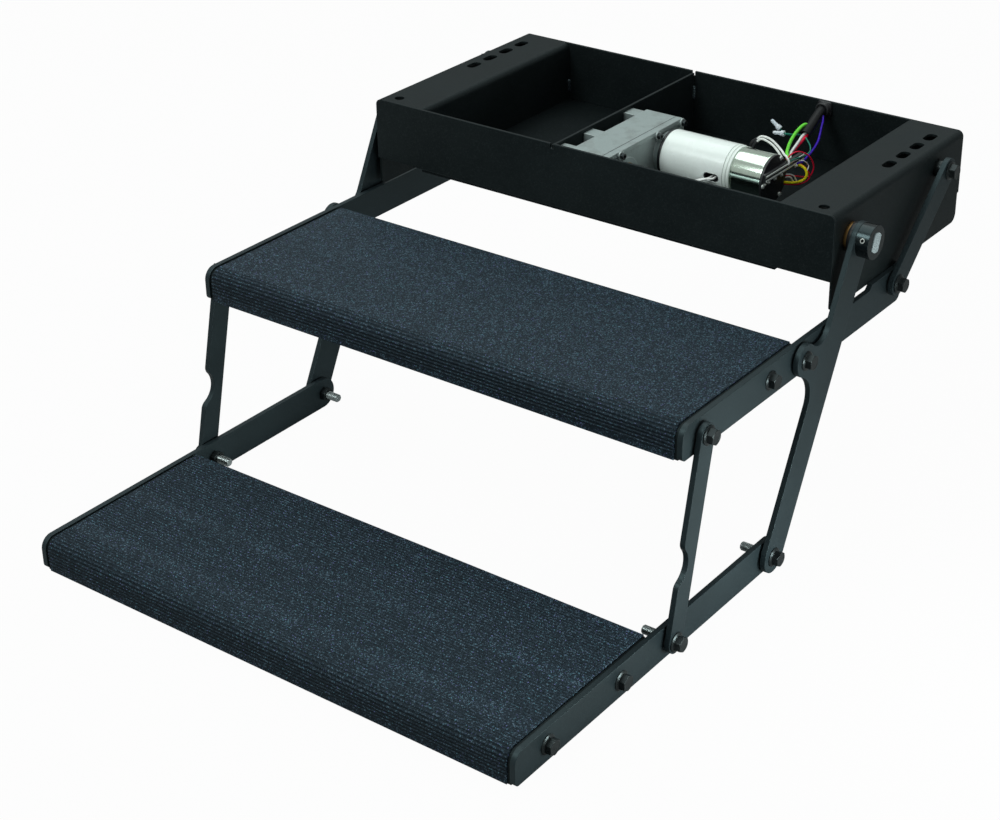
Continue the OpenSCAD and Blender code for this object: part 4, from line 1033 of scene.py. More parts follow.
@dataclass
class TreadCovers:
    """The ribbed covers on the two treads. A rib's middle, flat and slope are shares of the pitch."""

    half: float = 301.5
    thick: float = 2.0
    rail_h: float = 37.0
    nose_r: float = 14.0
    rib_h: float = 0.8
    pitch: float = 4.0
    rib_middle: float = 0.375
    rib_flat: float = 0.09
    rib_slope: float = 0.285
    step: float = 0.4
    under_step: int = 6
    inner_x: tuple[float, ...] = (-150.0, 0.0, 150.0)
    nose_plain: float = 8.0
    band_plain: float = 20.0
    band_ribbed: float = 60.0
    edge: float = 0.5
    sharp: float = 50.0
    # Painted shade on the cover: in the grooves between ribs, darker on the nose, and even on plain lengths
    groove_shade: float = 0.72
    nose_groove_shade: float = 0.94
    nose_shade: float = 0.36
    plain_shade: float = 0.2

    def line(self, s: Array, front: float, top: float) -> tuple[Array, Array]:
        """The outer line: straight up the nose, a quarter turn, then level to the rear.

        Args:
            s: lengths from the foot of the nose.
            front: y of the nose.
            top: z of the top.

        Returns:
            Points in y and z, and the outward ways there.
        """
        up, arc = self.rail_h - self.nose_r, self.nose_r * np.pi / 2
        a = np.pi - np.clip((s - up) / self.nose_r, 0, np.pi / 2)
        out = np.stack([np.cos(a), np.sin(a)], -1)
        middle = np.stack([front + self.nose_r + np.maximum(s - up - arc, 0),
                           top - self.nose_r + np.minimum(s - up, 0)], -1)
        return middle + self.nose_r * out, out

    def ribs(self, s: Array, bands: Sequence[Place]) -> Array:
        """Rib heights: in each band a round-shouldered ridge is repeated at the pitch.

        Args:
            s: lengths from the foot of the nose.
            bands: start and end of each ribbed length.

        Returns:
            Height at each length.
        """
        start = np.array([b[0] for b in bands])[:, None]
        end = np.array([b[1] for b in bands])[:, None]
        count = np.floor((end - start) / self.pitch)
        t = (s[None] - start) / self.pitch
        near = 1 - np.clip((np.abs(t % 1 - self.rib_middle) - self.rib_flat) / self.rib_slope, 0, 1)
        ridge = near * near * (3 - 2 * near)
        return (self.rib_h * ridge * ((t >= 0) & (t < count))).max(0)

    def painted_shade(self, s: Array, bands: Sequence[Place]) -> Array:
        """How dark the painted shade is: even on plain lengths, by the square of the depth between ribs, fading up the
        nose.

        Args:
            s: lengths from the foot of the nose.
            bands: start and end of each ribbed length.

        Returns:
            0 for unshaded to 1 for dark, at each length.
        """
        inside = np.zeros(len(s), bool)
        for start, end in bands:
            inside |= (s >= start - self.edge) & (s < start + np.floor((end - start) / self.pitch) * self.pitch)
        arc = self.nose_r * np.pi / 2
        nose = np.clip((self.rail_h - self.nose_r + arc - s) / arc, 0, 1)
        groove_shade = self.groove_shade + (self.nose_groove_shade - self.groove_shade) * nose
        between = np.where(inside, groove_shade * (1 - self.ribs(s, bands) / self.rib_h) ** 2, self.plain_shade)
        return np.maximum(between, self.nose_shade * nose)

    def length(self, tread: Tread) -> float:
        """The outer line's length: up the nose, a quarter turn and level to the rear edge."""
        return self.rail_h - self.nose_r + self.nose_r * np.pi / 2 + tread.rear - tread.front - self.nose_r

    def build(self, tread: Tread, bands: Sequence[Place]) -> None:
        """Makes a cover: its outer line with ribs, carried across the tread and rolled over at the edges.

        Args:
            tread: the tread that it covers.
            bands: ribbed lengths of the outer line.
        """
        whole = self.length(tread)
        s = np.linspace(0, whole, int(whole / self.step) + 1)
        sink = np.zeros(len(s))
        turn = np.linspace(0, np.pi / 2, 4)
        roll_s, roll_d = self.edge * (1 - np.sin(turn)), self.edge * (1 - np.cos(turn))
        s = np.concatenate([[0.0], roll_s[::-1][:-1], s[2:-2], whole - roll_s[1:], [whole]])
        sink = np.concatenate([[self.thick], roll_d[::-1][:-1], sink[2:-2], roll_d[1:], [self.thick]])
        x = np.concatenate([[-self.half], -self.half + roll_s[::-1], self.inner_x, self.half - roll_s, [self.half]])
        level = np.zeros(len(self.inner_x))
        side_sink = np.concatenate([[self.thick], roll_d[::-1], level, roll_d, [self.thick]])
        place, out = self.line(s, tread.front, tread.top)
        high = self.ribs(s, bands)
        depth = np.maximum(sink[:, None], side_sink[None])
        lift = np.where(depth > 0, -depth, high[:, None])
        yz = place[:, None] + lift[..., None] * out[:, None]
        grid = np.concatenate([np.broadcast_to(x[None, :, None], (*yz.shape[:2], 1)), yz], -1)
        skin = Skin()
        skin.grid(grid)
        under = place[::self.under_step] - self.thick * out[::self.under_step]
        flat = np.stack([np.column_stack([np.full(len(under), e * self.half), under]) for e in (1, -1)], 1)
        skin.grid(flat)
        cover = skin.build(f"{tread.node}_grit", tread.body, [COVER], [tread.node], self.sharp)
        # The painted shade goes to the mesh as its groove value; the rolled edges and the underside get none
        deep = np.zeros(skin.count, np.float32)
        deep[:depth.size] = np.where(depth > 0, 0.0, self.painted_shade(s, bands)[:, None]).ravel()
        cover.data.attributes.new("groove", "FLOAT", "POINT").data.foreach_set("value", deep)

    def build_all(self) -> None:
        """Makes both covers; the lower one has ribbed and smooth bands on its top."""
        self.build(UPPER_TREAD, [(self.nose_plain, self.rail_h + self.nose_r)])
        front = self.rail_h + 2 * self.nose_r
        middle = (front + self.band_plain, front + self.band_plain + self.band_ribbed)
        rear = (middle[1] + self.band_plain, self.length(LOWER_TREAD) - self.nose_plain)
        self.build(LOWER_TREAD, [(self.nose_plain, front), middle, rear])


@dataclass
class Fasteners:
    """Hexagon flange bolts, nuts and washers of the linkage."""

    layout: Layout
    pivot_d: float = 10.0
    tread_d: float = 8.0
    pivot_pitch: float = 1.5
    tread_pitch: float = 1.25
    across: float = 15.0
    rim_share: float = 0.97
    cone: float = 25.0
    dish: float = 0.25
    ease: float = 0.8
    flange_r: float = 10.5
    flange_t: float = 2.0
    flange_slope: float = 2.4
    hex_h: float = 7.0
    nut_h: float = 8.0
    tip_l: float = 0.9
    tip_share: float = 0.86
    thread_depth: float = 0.55
    thread_fade: float = 1.2
    ring_r: float = 10.0
    ring_t: float = 2.2
    ring_bore: float = 5.05
    count: int = 72
    sharp: float = 28.0
    ring_sharp: float = 40.0

    def hexagon(self) -> Array:
        """Factor on the inner radius that turns a circle into a hexagon: 1 / cos of the angle from a flat's middle."""
        a = np.linspace(0, 2 * np.pi, self.count, endpoint=False)
        return 1 / np.cos((a + np.pi / 6) % (np.pi / 3) - np.pi / 6)

    def hex_prism(self, skin: Skin, x0: float, x1: float, at: Place, chamfer_low: bool, bore: float = 0.0) -> None:
        """A hexagon along X whose corners are turned off by a cone.

        The side meets the cone at x1 - (radius(a) - rim) tan(cone), so that each flat ends in a shallow arc.

        Args:
            skin: where the surface goes.
            x0: low end.
            x1: high end.
            at: y and z of the axis.
            chamfer_low: whether the low end has a cone too.
            bore: radius of the hole through it, 0 for a closed top.
        """
        shape = self.hexagon()
        r = self.across / 2
        rim = r * self.rim_share
        a = np.linspace(0, 2 * np.pi, self.count, endpoint=False)
        drop = (r * shape - rim) * math.tan(math.radians(self.cone))
        rows = [(x0 + (drop if chamfer_low else 0.0), r * shape), (x1 - drop, r * shape), (x1, rim), (x1, rim * 0.9)]
        if chamfer_low:
            rows.insert(0, (x0, rim))
        if bore:
            rows += [(x1, bore + self.ease), (x1 - self.ease, bore), (x0, bore)]
        else:
            rows.append((x1 - self.dish, rim * 0.8))
        x, rad = (np.stack([np.broadcast_to(row[k], a.shape) for row in rows]) for k in (0, 1))
        grid = np.stack([x, at[0] + rad * np.cos(a), at[1] + rad * np.sin(a)], -1)
        skin.grid(grid, wrap_cols=True)
        if not bore:
            skin.fan(grid[-1], np.array([x1 - self.dish, *at]), False)

    def thread(self, skin: Skin, x_end: float, x_from: float, r: float, at: Place, pitch: float, finish: int) -> None:
        """A threaded end: the radius rises and falls with x / pitch - angle / turn, and fades at the tip.

        Args:
            skin: where the surface goes.
            x_end: the tip.
            x_from: where the thread runs into the shank.
            r: radius of the thread.
            at: y and z of the axis.
            pitch: distance from ridge to ridge.
            finish: which of the piece's finishes it takes.
        """
        x = np.linspace(x_end + self.tip_l, x_from, int((x_from - x_end) / pitch * 8))[:, None]
        a = np.linspace(0, 2 * np.pi, 36, endpoint=False)[None]
        ridge = np.abs(((x / pitch - a / (2 * np.pi)) % 1) - 0.5) * 2
        deep = self.thread_depth * pitch * np.clip((x - x_end) / self.thread_fade, 0.2, 1)
        rad = r - deep * (1 - ridge)
        grid = np.stack([np.broadcast_to(x, rad.shape), at[0] + rad * np.cos(a), at[1] + rad * np.sin(a)], -1)
        tip = grid[:1].copy()
        tip[..., 0] = x_end
        tip[..., 1:] = np.asarray(at) + (tip[..., 1:] - np.asarray(at)) * self.tip_share
        grid = np.concatenate([tip, grid])
        skin.grid(grid, wrap_cols=True, finish=finish)
        skin.fan(grid[0], np.array([x_end, *at]), True, finish)

    def bolt(self, skin: Skin, seat: float, x_end: float, d: float, at: Place, thread_l: float) -> None:
        """A flange bolt on the right side.

        Args:
            skin: where the surfaces go.
            seat: x of the flange's lower face.
            x_end: x of the tip.
            d: diameter of the shank.
            at: y and z of the axis.
            thread_l: length of thread that shows past the nut.
        """
        top = seat + self.flange_t
        flange = fillet([(seat, d / 2), (seat, self.flange_r), (seat + self.ease, self.flange_r),
                         (top, self.flange_r - self.flange_slope), (top, 5.0)], [0.1, 0.3, 0.4, 0.5, 0.1], 3)
        skin.lathe(flange, (0, *at), count=60)
        self.hex_prism(skin, top - 0.6, top + self.hex_h, at, False)
        split = x_end + thread_l
        skin.lathe([(split, d / 2), (seat + 0.1, d / 2)], (0, *at), count=36)
        pitch = self.pivot_pitch if d == self.pivot_d else self.tread_pitch
        self.thread(skin, x_end, split, d / 2, at, pitch, 1)

    def nut(self, skin: Skin, face: float, d: float, at: Place) -> None:
        """A nut whose outer face rests at x on the right side.

        Args:
            skin: where the surfaces go.
            face: x of the face that it rests on.
            d: diameter of its bolt.
            at: y and z of the axis.
        """
        flipped = Skin()
        self.hex_prism(flipped, -face, -face + self.nut_h, at, True, d / 2)
        for points, faces in zip(flipped.points, flipped.faces):
            skin.add(points * (-1, 1, 1), [faces[:, ::-1]])

    def ring(self, skin: Skin, x0: float, x1: float, at: Place) -> None:
        """A washer or spacer with rounded rims.

        Args:
            skin: where the surface goes.
            x0: low face.
            x1: high face.
            at: y and z of the axis.
        """
        r, bore = self.ring_r, self.ring_bore
        section = fillet([(x0, bore), (x0, r), (x1, r), (x1, bore)], 0.35, 3, True)
        skin.lathe(section, (0, *at), count=48, closed=True)

    def build(self) -> None:
        """Makes the bolts, nuts and washers of the box and of both steps, each with its mirror image."""
        at, pivot, tread = self.layout, self.pivot_d, self.tread_d
        pan, rail, plate = at.rail_x - 2.5, at.rail_x, at.rail_x + at.rail_t
        bolts = {
            ("rear_pivot_bolts", Body.BOX): [(at.head_x, at.wall_x - 18, pivot, at.rear, 7.0)],
            ("upper_tread_bolts", Body.UPPER): [(plate, pan - 11.5, tread, at.upper_bolt, 3.5)],
            ("upper_pivot_bolts", Body.UPPER): [
                (at.head_x, rail - 15, pivot, at.ear, 7.0), (at.head_x, rail - 15, pivot, at.tail, 7.0),
                (at.head_x, pan - 15, pivot, at.front, 7.0)],
            ("lower_tread_bolts", Body.LOWER): [(plate, pan - 11.5, tread, p, 3.5) for p in at.lower_bolts],
            ("lower_pivot_bolts", Body.LOWER): [
                (at.head_x, rail - 24, pivot, p, 16.0) for p in (at.arm_end, at.link_end)],
        }
        nuts = {
            ("upper_nuts", Body.UPPER): [
                (rail, pivot, at.ear), (rail, pivot, at.tail), (pan, pivot, at.front), (pan, tread, at.upper_bolt)],
            ("lower_nuts", Body.LOWER): [
                *((rail, pivot, p) for p in (at.arm_end, at.link_end)), *((pan, tread, p) for p in at.lower_bolts)],
        }
        rings = {
            ("upper_pivot_washers", Body.UPPER): [(plate, plate + self.ring_t, p) for p in (at.ear, at.tail, at.front)],
            ("lower_pivot_washers", Body.LOWER): [(plate, plate + self.ring_t, p) for p in (at.arm_end, at.link_end)],
        }
        for sets, draw, kind, finishes, sharp in (
            (bolts, self.bolt, "hex", [FASTENER, ZINC], self.sharp),
            (nuts, self.nut, "hex", [FASTENER], self.sharp),
            (rings, self.ring, "ring", [BLACK_PLASTIC], self.ring_sharp),
        ):
            for (name, body), pieces in sets.items():
                skin = Skin()
                for piece in pieces:
                    draw(skin, *piece)
                skin.mirrored()
                skin.build(f"{name}_{kind}", body, finishes, [name], sharp)
        skin = Skin()
        self.nut(skin, at.wall_x - 3, pivot, at.rear)
        self.ring(skin, at.wall_x, at.link_x - at.link_gap, at.rear)
        skin.mirrored()
        skin.build("rear_pivot_fittings_hex", Body.BOX, [FASTENER], ["rear_pivot_fittings"], self.sharp)


@dataclass
class ShaftBushes:
    """Bronze collars with black thrust rings, between the side walls and the arms."""

    layout: Layout
    collar_r: float = 15.8
    ring_r: float = 17.2
    ring_w: float = 4.6
    sleeve_r: float = 14.0
    sleeve_l: float = 14.0
    bore_r: float = 11.05

    def build(self) -> None:
        """Turns each bush from its section: a sleeve in the wall, a collar with eased rims and a black ring outside."""
        at = self.layout
        x0, x1, x3 = at.wall_x - self.sleeve_l, at.wall_x, at.link_x - at.link_gap
        x2 = x3 - self.ring_w
        section = fillet([(x0, self.bore_r), (x0, self.sleeve_r), (x1, self.sleeve_r), (x1, self.collar_r),
                          (x2, self.collar_r), (x2, self.bore_r)], [0.3, 0.4, 0.1, 0.5, 0.5, 0.3], 3, True)
        ring = fillet([(x2, self.bore_r), (x2, self.ring_r), (x3, self.ring_r), (x3, self.bore_r)], 0.4, 3, True)
        skin = Skin()
        skin.lathe(section, (0, *at.shaft), count=80, closed=True)
        skin.lathe(ring, (0, *at.shaft), count=80, closed=True, finish=1)
        skin.mirrored()
        skin.build("shaft_bushes_turned", Body.BOX, [BRONZE, BLACK_PLASTIC], ["shaft_bushes"])


@dataclass
class SetScrew:
    """The screw that holds the right arm's hub on a flat of the shaft."""

    layout: Layout
    x: float = 327.5
    lean: float = 20.0
    low: float = 7.3
    top: float = 17.6
    radius: float = 2.9
    socket: float = 1.75
    socket_depth: float = 2.6
    taper: float = 0.95

    def build(self) -> None:
        """Turns the screw, square to the flat: a bright rim about a dark socket with six sides."""
        way = (0.0, -math.cos(math.radians(self.lean)), math.sin(math.radians(self.lean)))
        at = (self.x, *self.layout.shaft)
        rim = fillet([(self.low, 0.0), (self.low, self.radius), (self.top, self.radius), (self.top, self.socket)],
                     [0.0, 0.4, 0.4, 0.0], 3)
        skin = Skin()
        skin.lathe(rim, at, way, count=36)
        foot = self.top - self.socket_depth
        skin.lathe([(self.top, self.socket), (foot, self.socket * self.taper), (foot, 0.0)], at, way, count=6, finish=1)
        skin.build("hub_set_screw_turned", Body.DRIVE, [TIN, BLACK_PLASTIC], ["hub_set_screw"], 30.0)


@dataclass
class GearboxTrim:
    """Dark lines on the gearbox: its parting line, and a black ring under the motor."""

    layout: Layout
    split_x: float = 13.0
    motor_x: float = 30.0
    dark_ring_r: float = 28.6
    dark_ring_w: float = 3.4
    dark_ring_bore: float = 20.0
    low: Place = (-12.0, -70.0)
    high: Place = (142.75, -2.0)
    corner_r: float = 4.0
    line_w: float = 0.9
    proud: float = 0.06

    def build(self) -> None:
        """Draws the parting line as a ribbon around the case, just proud of it, and turns the black ring under the
        motor.
        """
        (y0, z0), (y1, z1) = self.low, self.high
        grow = self.proud
        corners = [(y0 - grow, z0 - grow), (y1 + grow, z0 - grow), (y1 + grow, z1 + grow), (y0 - grow, z1 + grow)]
        outline = fillet(corners, self.corner_r + grow, 6, True)
        x = self.split_x + np.array([-0.5, 0.5]) * self.line_w
        ribbon = np.stack([np.column_stack([np.full(len(outline), e), outline]) for e in x])
        skin = Skin()
        skin.grid(ribbon, wrap_cols=True)
        x0, x1 = self.motor_x - self.dark_ring_w, self.motor_x
        ring = fillet([(x0, self.dark_ring_bore), (x0, self.dark_ring_r), (x1, self.dark_ring_r), (x1, self.dark_ring_bore)],
                      [0.1, 0.8, 0.3, 0.1], 3)
        skin.lathe(ring, (0, *self.layout.motor), count=72)
        skin.build("gearbox_trim", Body.BOX, [BLACK_PLASTIC])


@dataclass
class Motor:
    """The motor, its end ring, the bright can behind it and the terminal end."""

    layout: Layout
    case_x: float = 30.0
    case_end: float = 113.0
    case_r: float = 29.5
    can_x: float = 121.0
    can_end: float = 160.0
    can_r: float = 28.0
    plate_end: float = 163.0
    slot_x: float = 99.0
    slot_half: float = 10.5
    slot_r: float = 5.25
    slot_low: float = 3.0
    columns: int = 96
    window: Place = (86.0, 111.5)
    window_rows: int = 8
    window_cols: int = 10
    screw_ring: float = 25.0
    screw_turns: tuple[float, ...] = (60.0, 180.0, 300.0)
    bar_front: float = 26.0
    bar_top: float = -19.5
    bar_l: float = 84.0
    bar_h: float = 10.0
    bar_t: float = 4.0
    strip_t: float = 1.2
    strip_half: float = 1.0
    strip_inset: float = 0.6
    tags: tuple[Place, ...] = ((-22.0, 3.0), (-13.0, 3.4), (0.5, 3.2), (15.0, 3.6))
    bar_tag: float = 66.0

    def axis_point(self, x: Array, a: Array, r: Array | float) -> Array:
        """Points around the motor's axis: x along it, r out from it at the angle a.

        Args:
            x: lengths along X.
            a: angles, 0 toward the rear.
            r: radii.

        Returns:
            (..., 3) points.
        """
        y, z = self.layout.motor
        x, a, r = np.broadcast_arrays(x, a, r)
        return np.stack([x, y + r * np.cos(a), z + r * np.sin(a)], -1)

    def slot_ring(self, dx: Array, ds: Array) -> tuple[Array, Array]:
        """Points of the lead slot in the directions of given points.

        Along a ray with cosine c and sine s the slot's edge lies at r / |s| on its flat sides, where that is within the
        straight part, and at 2 r |c| on its round ends.

        Args:
            dx: offsets along the motor.
            ds: offsets around it.

        Returns:
            Offsets along and around.
        """
        far = np.hypot(dx, ds)
        c, s = dx / far, ds / far
        r, straight = self.slot_r, self.slot_half - self.slot_r
        flat = r / np.maximum(np.abs(s), 1e-6)
        end = straight * np.abs(c) + np.sqrt(np.maximum(r * r - (straight * s) ** 2, 0))
        t = np.where(flat * np.abs(c) <= straight, flat, end)
        return t * c, t * s

    def case(self) -> None:
        """Makes the painted case, a turned shell with a window for the leads.

        The shell is a grid of lengths and angles. Inside the window its faces are left out, and rings blend from the
        window's border to the slot's edge, then turn in through the wall to a dark lining.
        """
        edge = fillet([(self.case_x, 0.0), (self.case_x, self.case_r), (self.case_x + 6, self.case_r)], [0, 2.5, 0], 6)
        rows, cols = self.window_rows, self.window_cols
        window = np.linspace(*self.window, rows + 1)
        x = np.concatenate([edge[1:-1, 0], [45.0, 60.0, 75.0], window, [self.case_end]])
        r = np.concatenate([edge[1:-1, 1], np.full(len(x) - len(edge) + 2, self.case_r)])
        step = 2 * np.pi / self.columns
        low = np.pi + math.asin(self.slot_low / self.case_r)
        a = low + step * (np.arange(self.columns) - cols // 2)
        grid = self.axis_point(x[:, None], a[None], r[:, None])
        faces = grid_faces(len(x), self.columns, False, True)
        row, col = np.divmod(faces[:, 0], self.columns)
        first = len(x) - 1 - len(window)
        inside = (row >= first) & (row < first + rows) & (col < cols)
        skin = Skin()
        skin.add(grid, [faces[~inside]])
        skin.fan(grid[0], np.array([self.case_x, *self.layout.motor]), True)
        skin.grid(self.axis_point(np.full((2, 1), self.case_end), a[None], np.array([[self.case_r], [24.0]])),
                  wrap_cols=True)
        border_row = np.concatenate([np.zeros(cols), np.arange(rows), np.full(cols, rows), np.arange(rows, 0, -1)])
        border_col = np.concatenate([np.arange(cols), np.full(rows, cols), np.arange(cols, 0, -1), np.zeros(rows)])
        dx = window[border_row.astype(int)] - self.slot_x
        ds = (border_col - cols // 2) * step * self.case_r
        share = np.linspace(0, 1, 5)[:, None]
        lip_x, lip_s = self.slot_ring(dx, ds)
        blend_x, blend_s = dx + share * (lip_x - dx), ds + share * (lip_s - ds)
        skin.grid(self.axis_point(self.slot_x + blend_x, low + blend_s / self.case_r, self.case_r), wrap_cols=True)
        wall = self.case_r - np.array([0.0, 0.5, 3.0])[:, None]
        shrink = np.array([0.0, 0.35, 0.35])[:, None]
        keep = 1 - shrink / self.slot_r
        skin.grid(self.axis_point(self.slot_x + lip_x * keep, low + lip_s * keep / self.case_r, wall), wrap_cols=True)
        deep = self.case_r - np.array([0.9, 0.6, 1.2, 3.0, 9.0])[:, None]
        squeeze = np.array([0.93, 0.86, 0.8, 0.8, 0.8])[:, None]
        lining = self.axis_point(self.slot_x + lip_x * squeeze, low + lip_s * squeeze / self.case_r, deep)
        skin.grid(lining, wrap_cols=True, finish=1)
        skin.cap(lining[-1], False, 1)
        skin.build("motor_case_painted", Body.BOX, [PAINT, BLACK_PLASTIC], ["motor_case"])

    def end_ring(self) -> None:
        """Turns the white end ring: a lip, a groove and a stepped shoulder."""
        r, x = self.case_r, self.case_end
        section = fillet([(x + 0.2, 20.0), (x + 0.2, r - 0.6), (x + 0.9, r - 0.6), (x + 0.9, r), (x + 4.4, r),
                          (x + 4.4, r - 0.9), (x + 5.2, r - 0.9), (x + 5.2, r - 0.5), (x + 8.0, r - 0.9),
                          (x + 8.0, 20.0)], [0.1, 0.2, 0.2, 0.5, 0.5, 0.2, 0.2, 0.3, 0.4, 0.1], 3)
        skin = Skin()
        skin.lathe(section, (0, *self.layout.motor), count=96)
        skin.build("motor_end_ring_turned", Body.BOX, [WHITE_PLASTIC], ["motor_end_ring"])

    def can(self) -> None:
        """Turns the bright can, with a rolled bead at each end, and the black end plate inside its rim."""
        r, x0, x1 = self.can_r, self.can_x, self.can_end
        shell = fillet([(x0, 18.0), (x0, r - 0.5), (x0 + 2.2, r - 0.5), (x0 + 2.8, r - 0.1), (x1 - 2.0, r - 0.1),
                        (x1 - 1.6, r), (x1, r), (x1, 20.0)], [0.1, 0.4, 0.3, 0.3, 0.3, 0.3, 0.4, 0.1], 3)
        skin = Skin()
        skin.lathe(shell, (0, *self.layout.motor), count=96)
        skin.build("controller_can_drawn", Body.BOX, [CAN], ["controller_can"])
        plate = fillet([(x1, 22.0), (x1, r - 0.2), (self.plate_end, r - 0.2), (self.plate_end, 20.0),
                        (self.plate_end - 0.3, 19.0), (self.plate_end - 0.3, 8.0), (self.plate_end, 7.0),
                        (self.plate_end, 0.001)], [0.1, 0.2, 0.6, 0.3, 0.3, 0.3, 0.3, 0.0], 3)
        skin = Skin()
        skin.lathe(plate, (0, *self.layout.motor), count=96)
        skin.build("controller_plate_moulded", Body.BOX, [BLACK_PLASTIC], ["controller_plate"])

    def screws(self) -> None:
        """Turns the domed screws of the end plate."""
        y, z = self.layout.motor
        dome = fillet([(0.0, 1.6), (0.0, 2.9), (1.2, 2.7), (2.0, 1.4), (2.0, 0.0)], [0.1, 0.2, 0.7, 0.5, 0], 3)
        skin = Skin()
        for turn in np.radians(self.screw_turns):
            at = (self.plate_end, y + self.screw_ring * math.cos(turn), z + self.screw_ring * math.sin(turn))
            skin.lathe(dome, at, count=28)
        skin.build("controller_screws_pan", Body.BOX, [TIN], ["controller_screws"])

    def terminal_bar(self) -> None:
        """Makes the terminal bar, a rounded section along Y that is pinched at its ends, and its two bright strips."""
        front, long, high, thick = self.layout.motor[0] - self.bar_front, self.bar_l, self.bar_h, self.bar_t
        foot = self.bar_top - high
        section = fillet([(0.0, 0.0), (thick, 0.0), (thick, high), (0.0, high)], [0.2, 0.7, 0.7, 0.2], 3, True)
        ends = np.array([front, front + 0.5, front + 0.8, front + long - 0.8, front + long - 0.5, front + long])
        pinch = np.array([0.88, 0.97, 1.0, 1.0, 0.97, 0.88])
        middle = np.array([thick / 2, high / 2])
        flat = middle + (section[None] - middle) * pinch[:, None, None]
        skin = Skin()
        skin.bar(np.stack([self.plate_end + flat[..., 0], np.broadcast_to(ends[:, None], flat.shape[:2]),
                           foot + flat[..., 1]], -1))
        skin.build("terminal_bar_moulded", Body.BOX, [BLACK_PLASTIC], ["terminal_bar"])
        t, half = self.strip_t, self.strip_half
        strip = fillet([(0.0, -half), (t, -half), (t, half), (0.0, half)], 0.3, 3, True)
        run = np.array([front + self.strip_inset, front + long - self.strip_inset])
        skin = Skin()
        for level in (self.bar_top - high / 4, self.bar_top - high * 3 / 4):
            skin.bar(np.stack(np.broadcast_arrays(self.plate_end + thick + strip[None, :, 0], run[:, None],
                                                  level + strip[None, :, 1]), -1))
        skin.build("terminal_strips_bent", Body.BOX, [TIN], ["terminal_strips"])

    def solder_tags(self) -> None:
        """Turns the row of soldered tags below the terminal bar, and the one on it."""
        y, foot = self.layout.motor[0], self.bar_top - self.bar_h
        bead = fillet([(0.0, 2.6), (0.8, 2.4), (2.3, 1.2), (3.0, 0.0)], [0, 0.5, 0.8, 0], 3)
        skin = Skin()
        for along, drop in self.tags:
            skin.lathe(bead, (self.plate_end, y + along, foot - drop), count=20)
        skin.lathe(bead, (self.plate_end + self.bar_t, y - self.bar_front + self.bar_tag, foot), count=20)
        skin.build("solder_tags", Body.BOX, [TIN])

    def build(self) -> None:
        """Makes the motor's pieces in order."""
        self.case()
        self.end_ring()
        self.can()
        self.screws()
        self.terminal_bar()
        self.solder_tags()


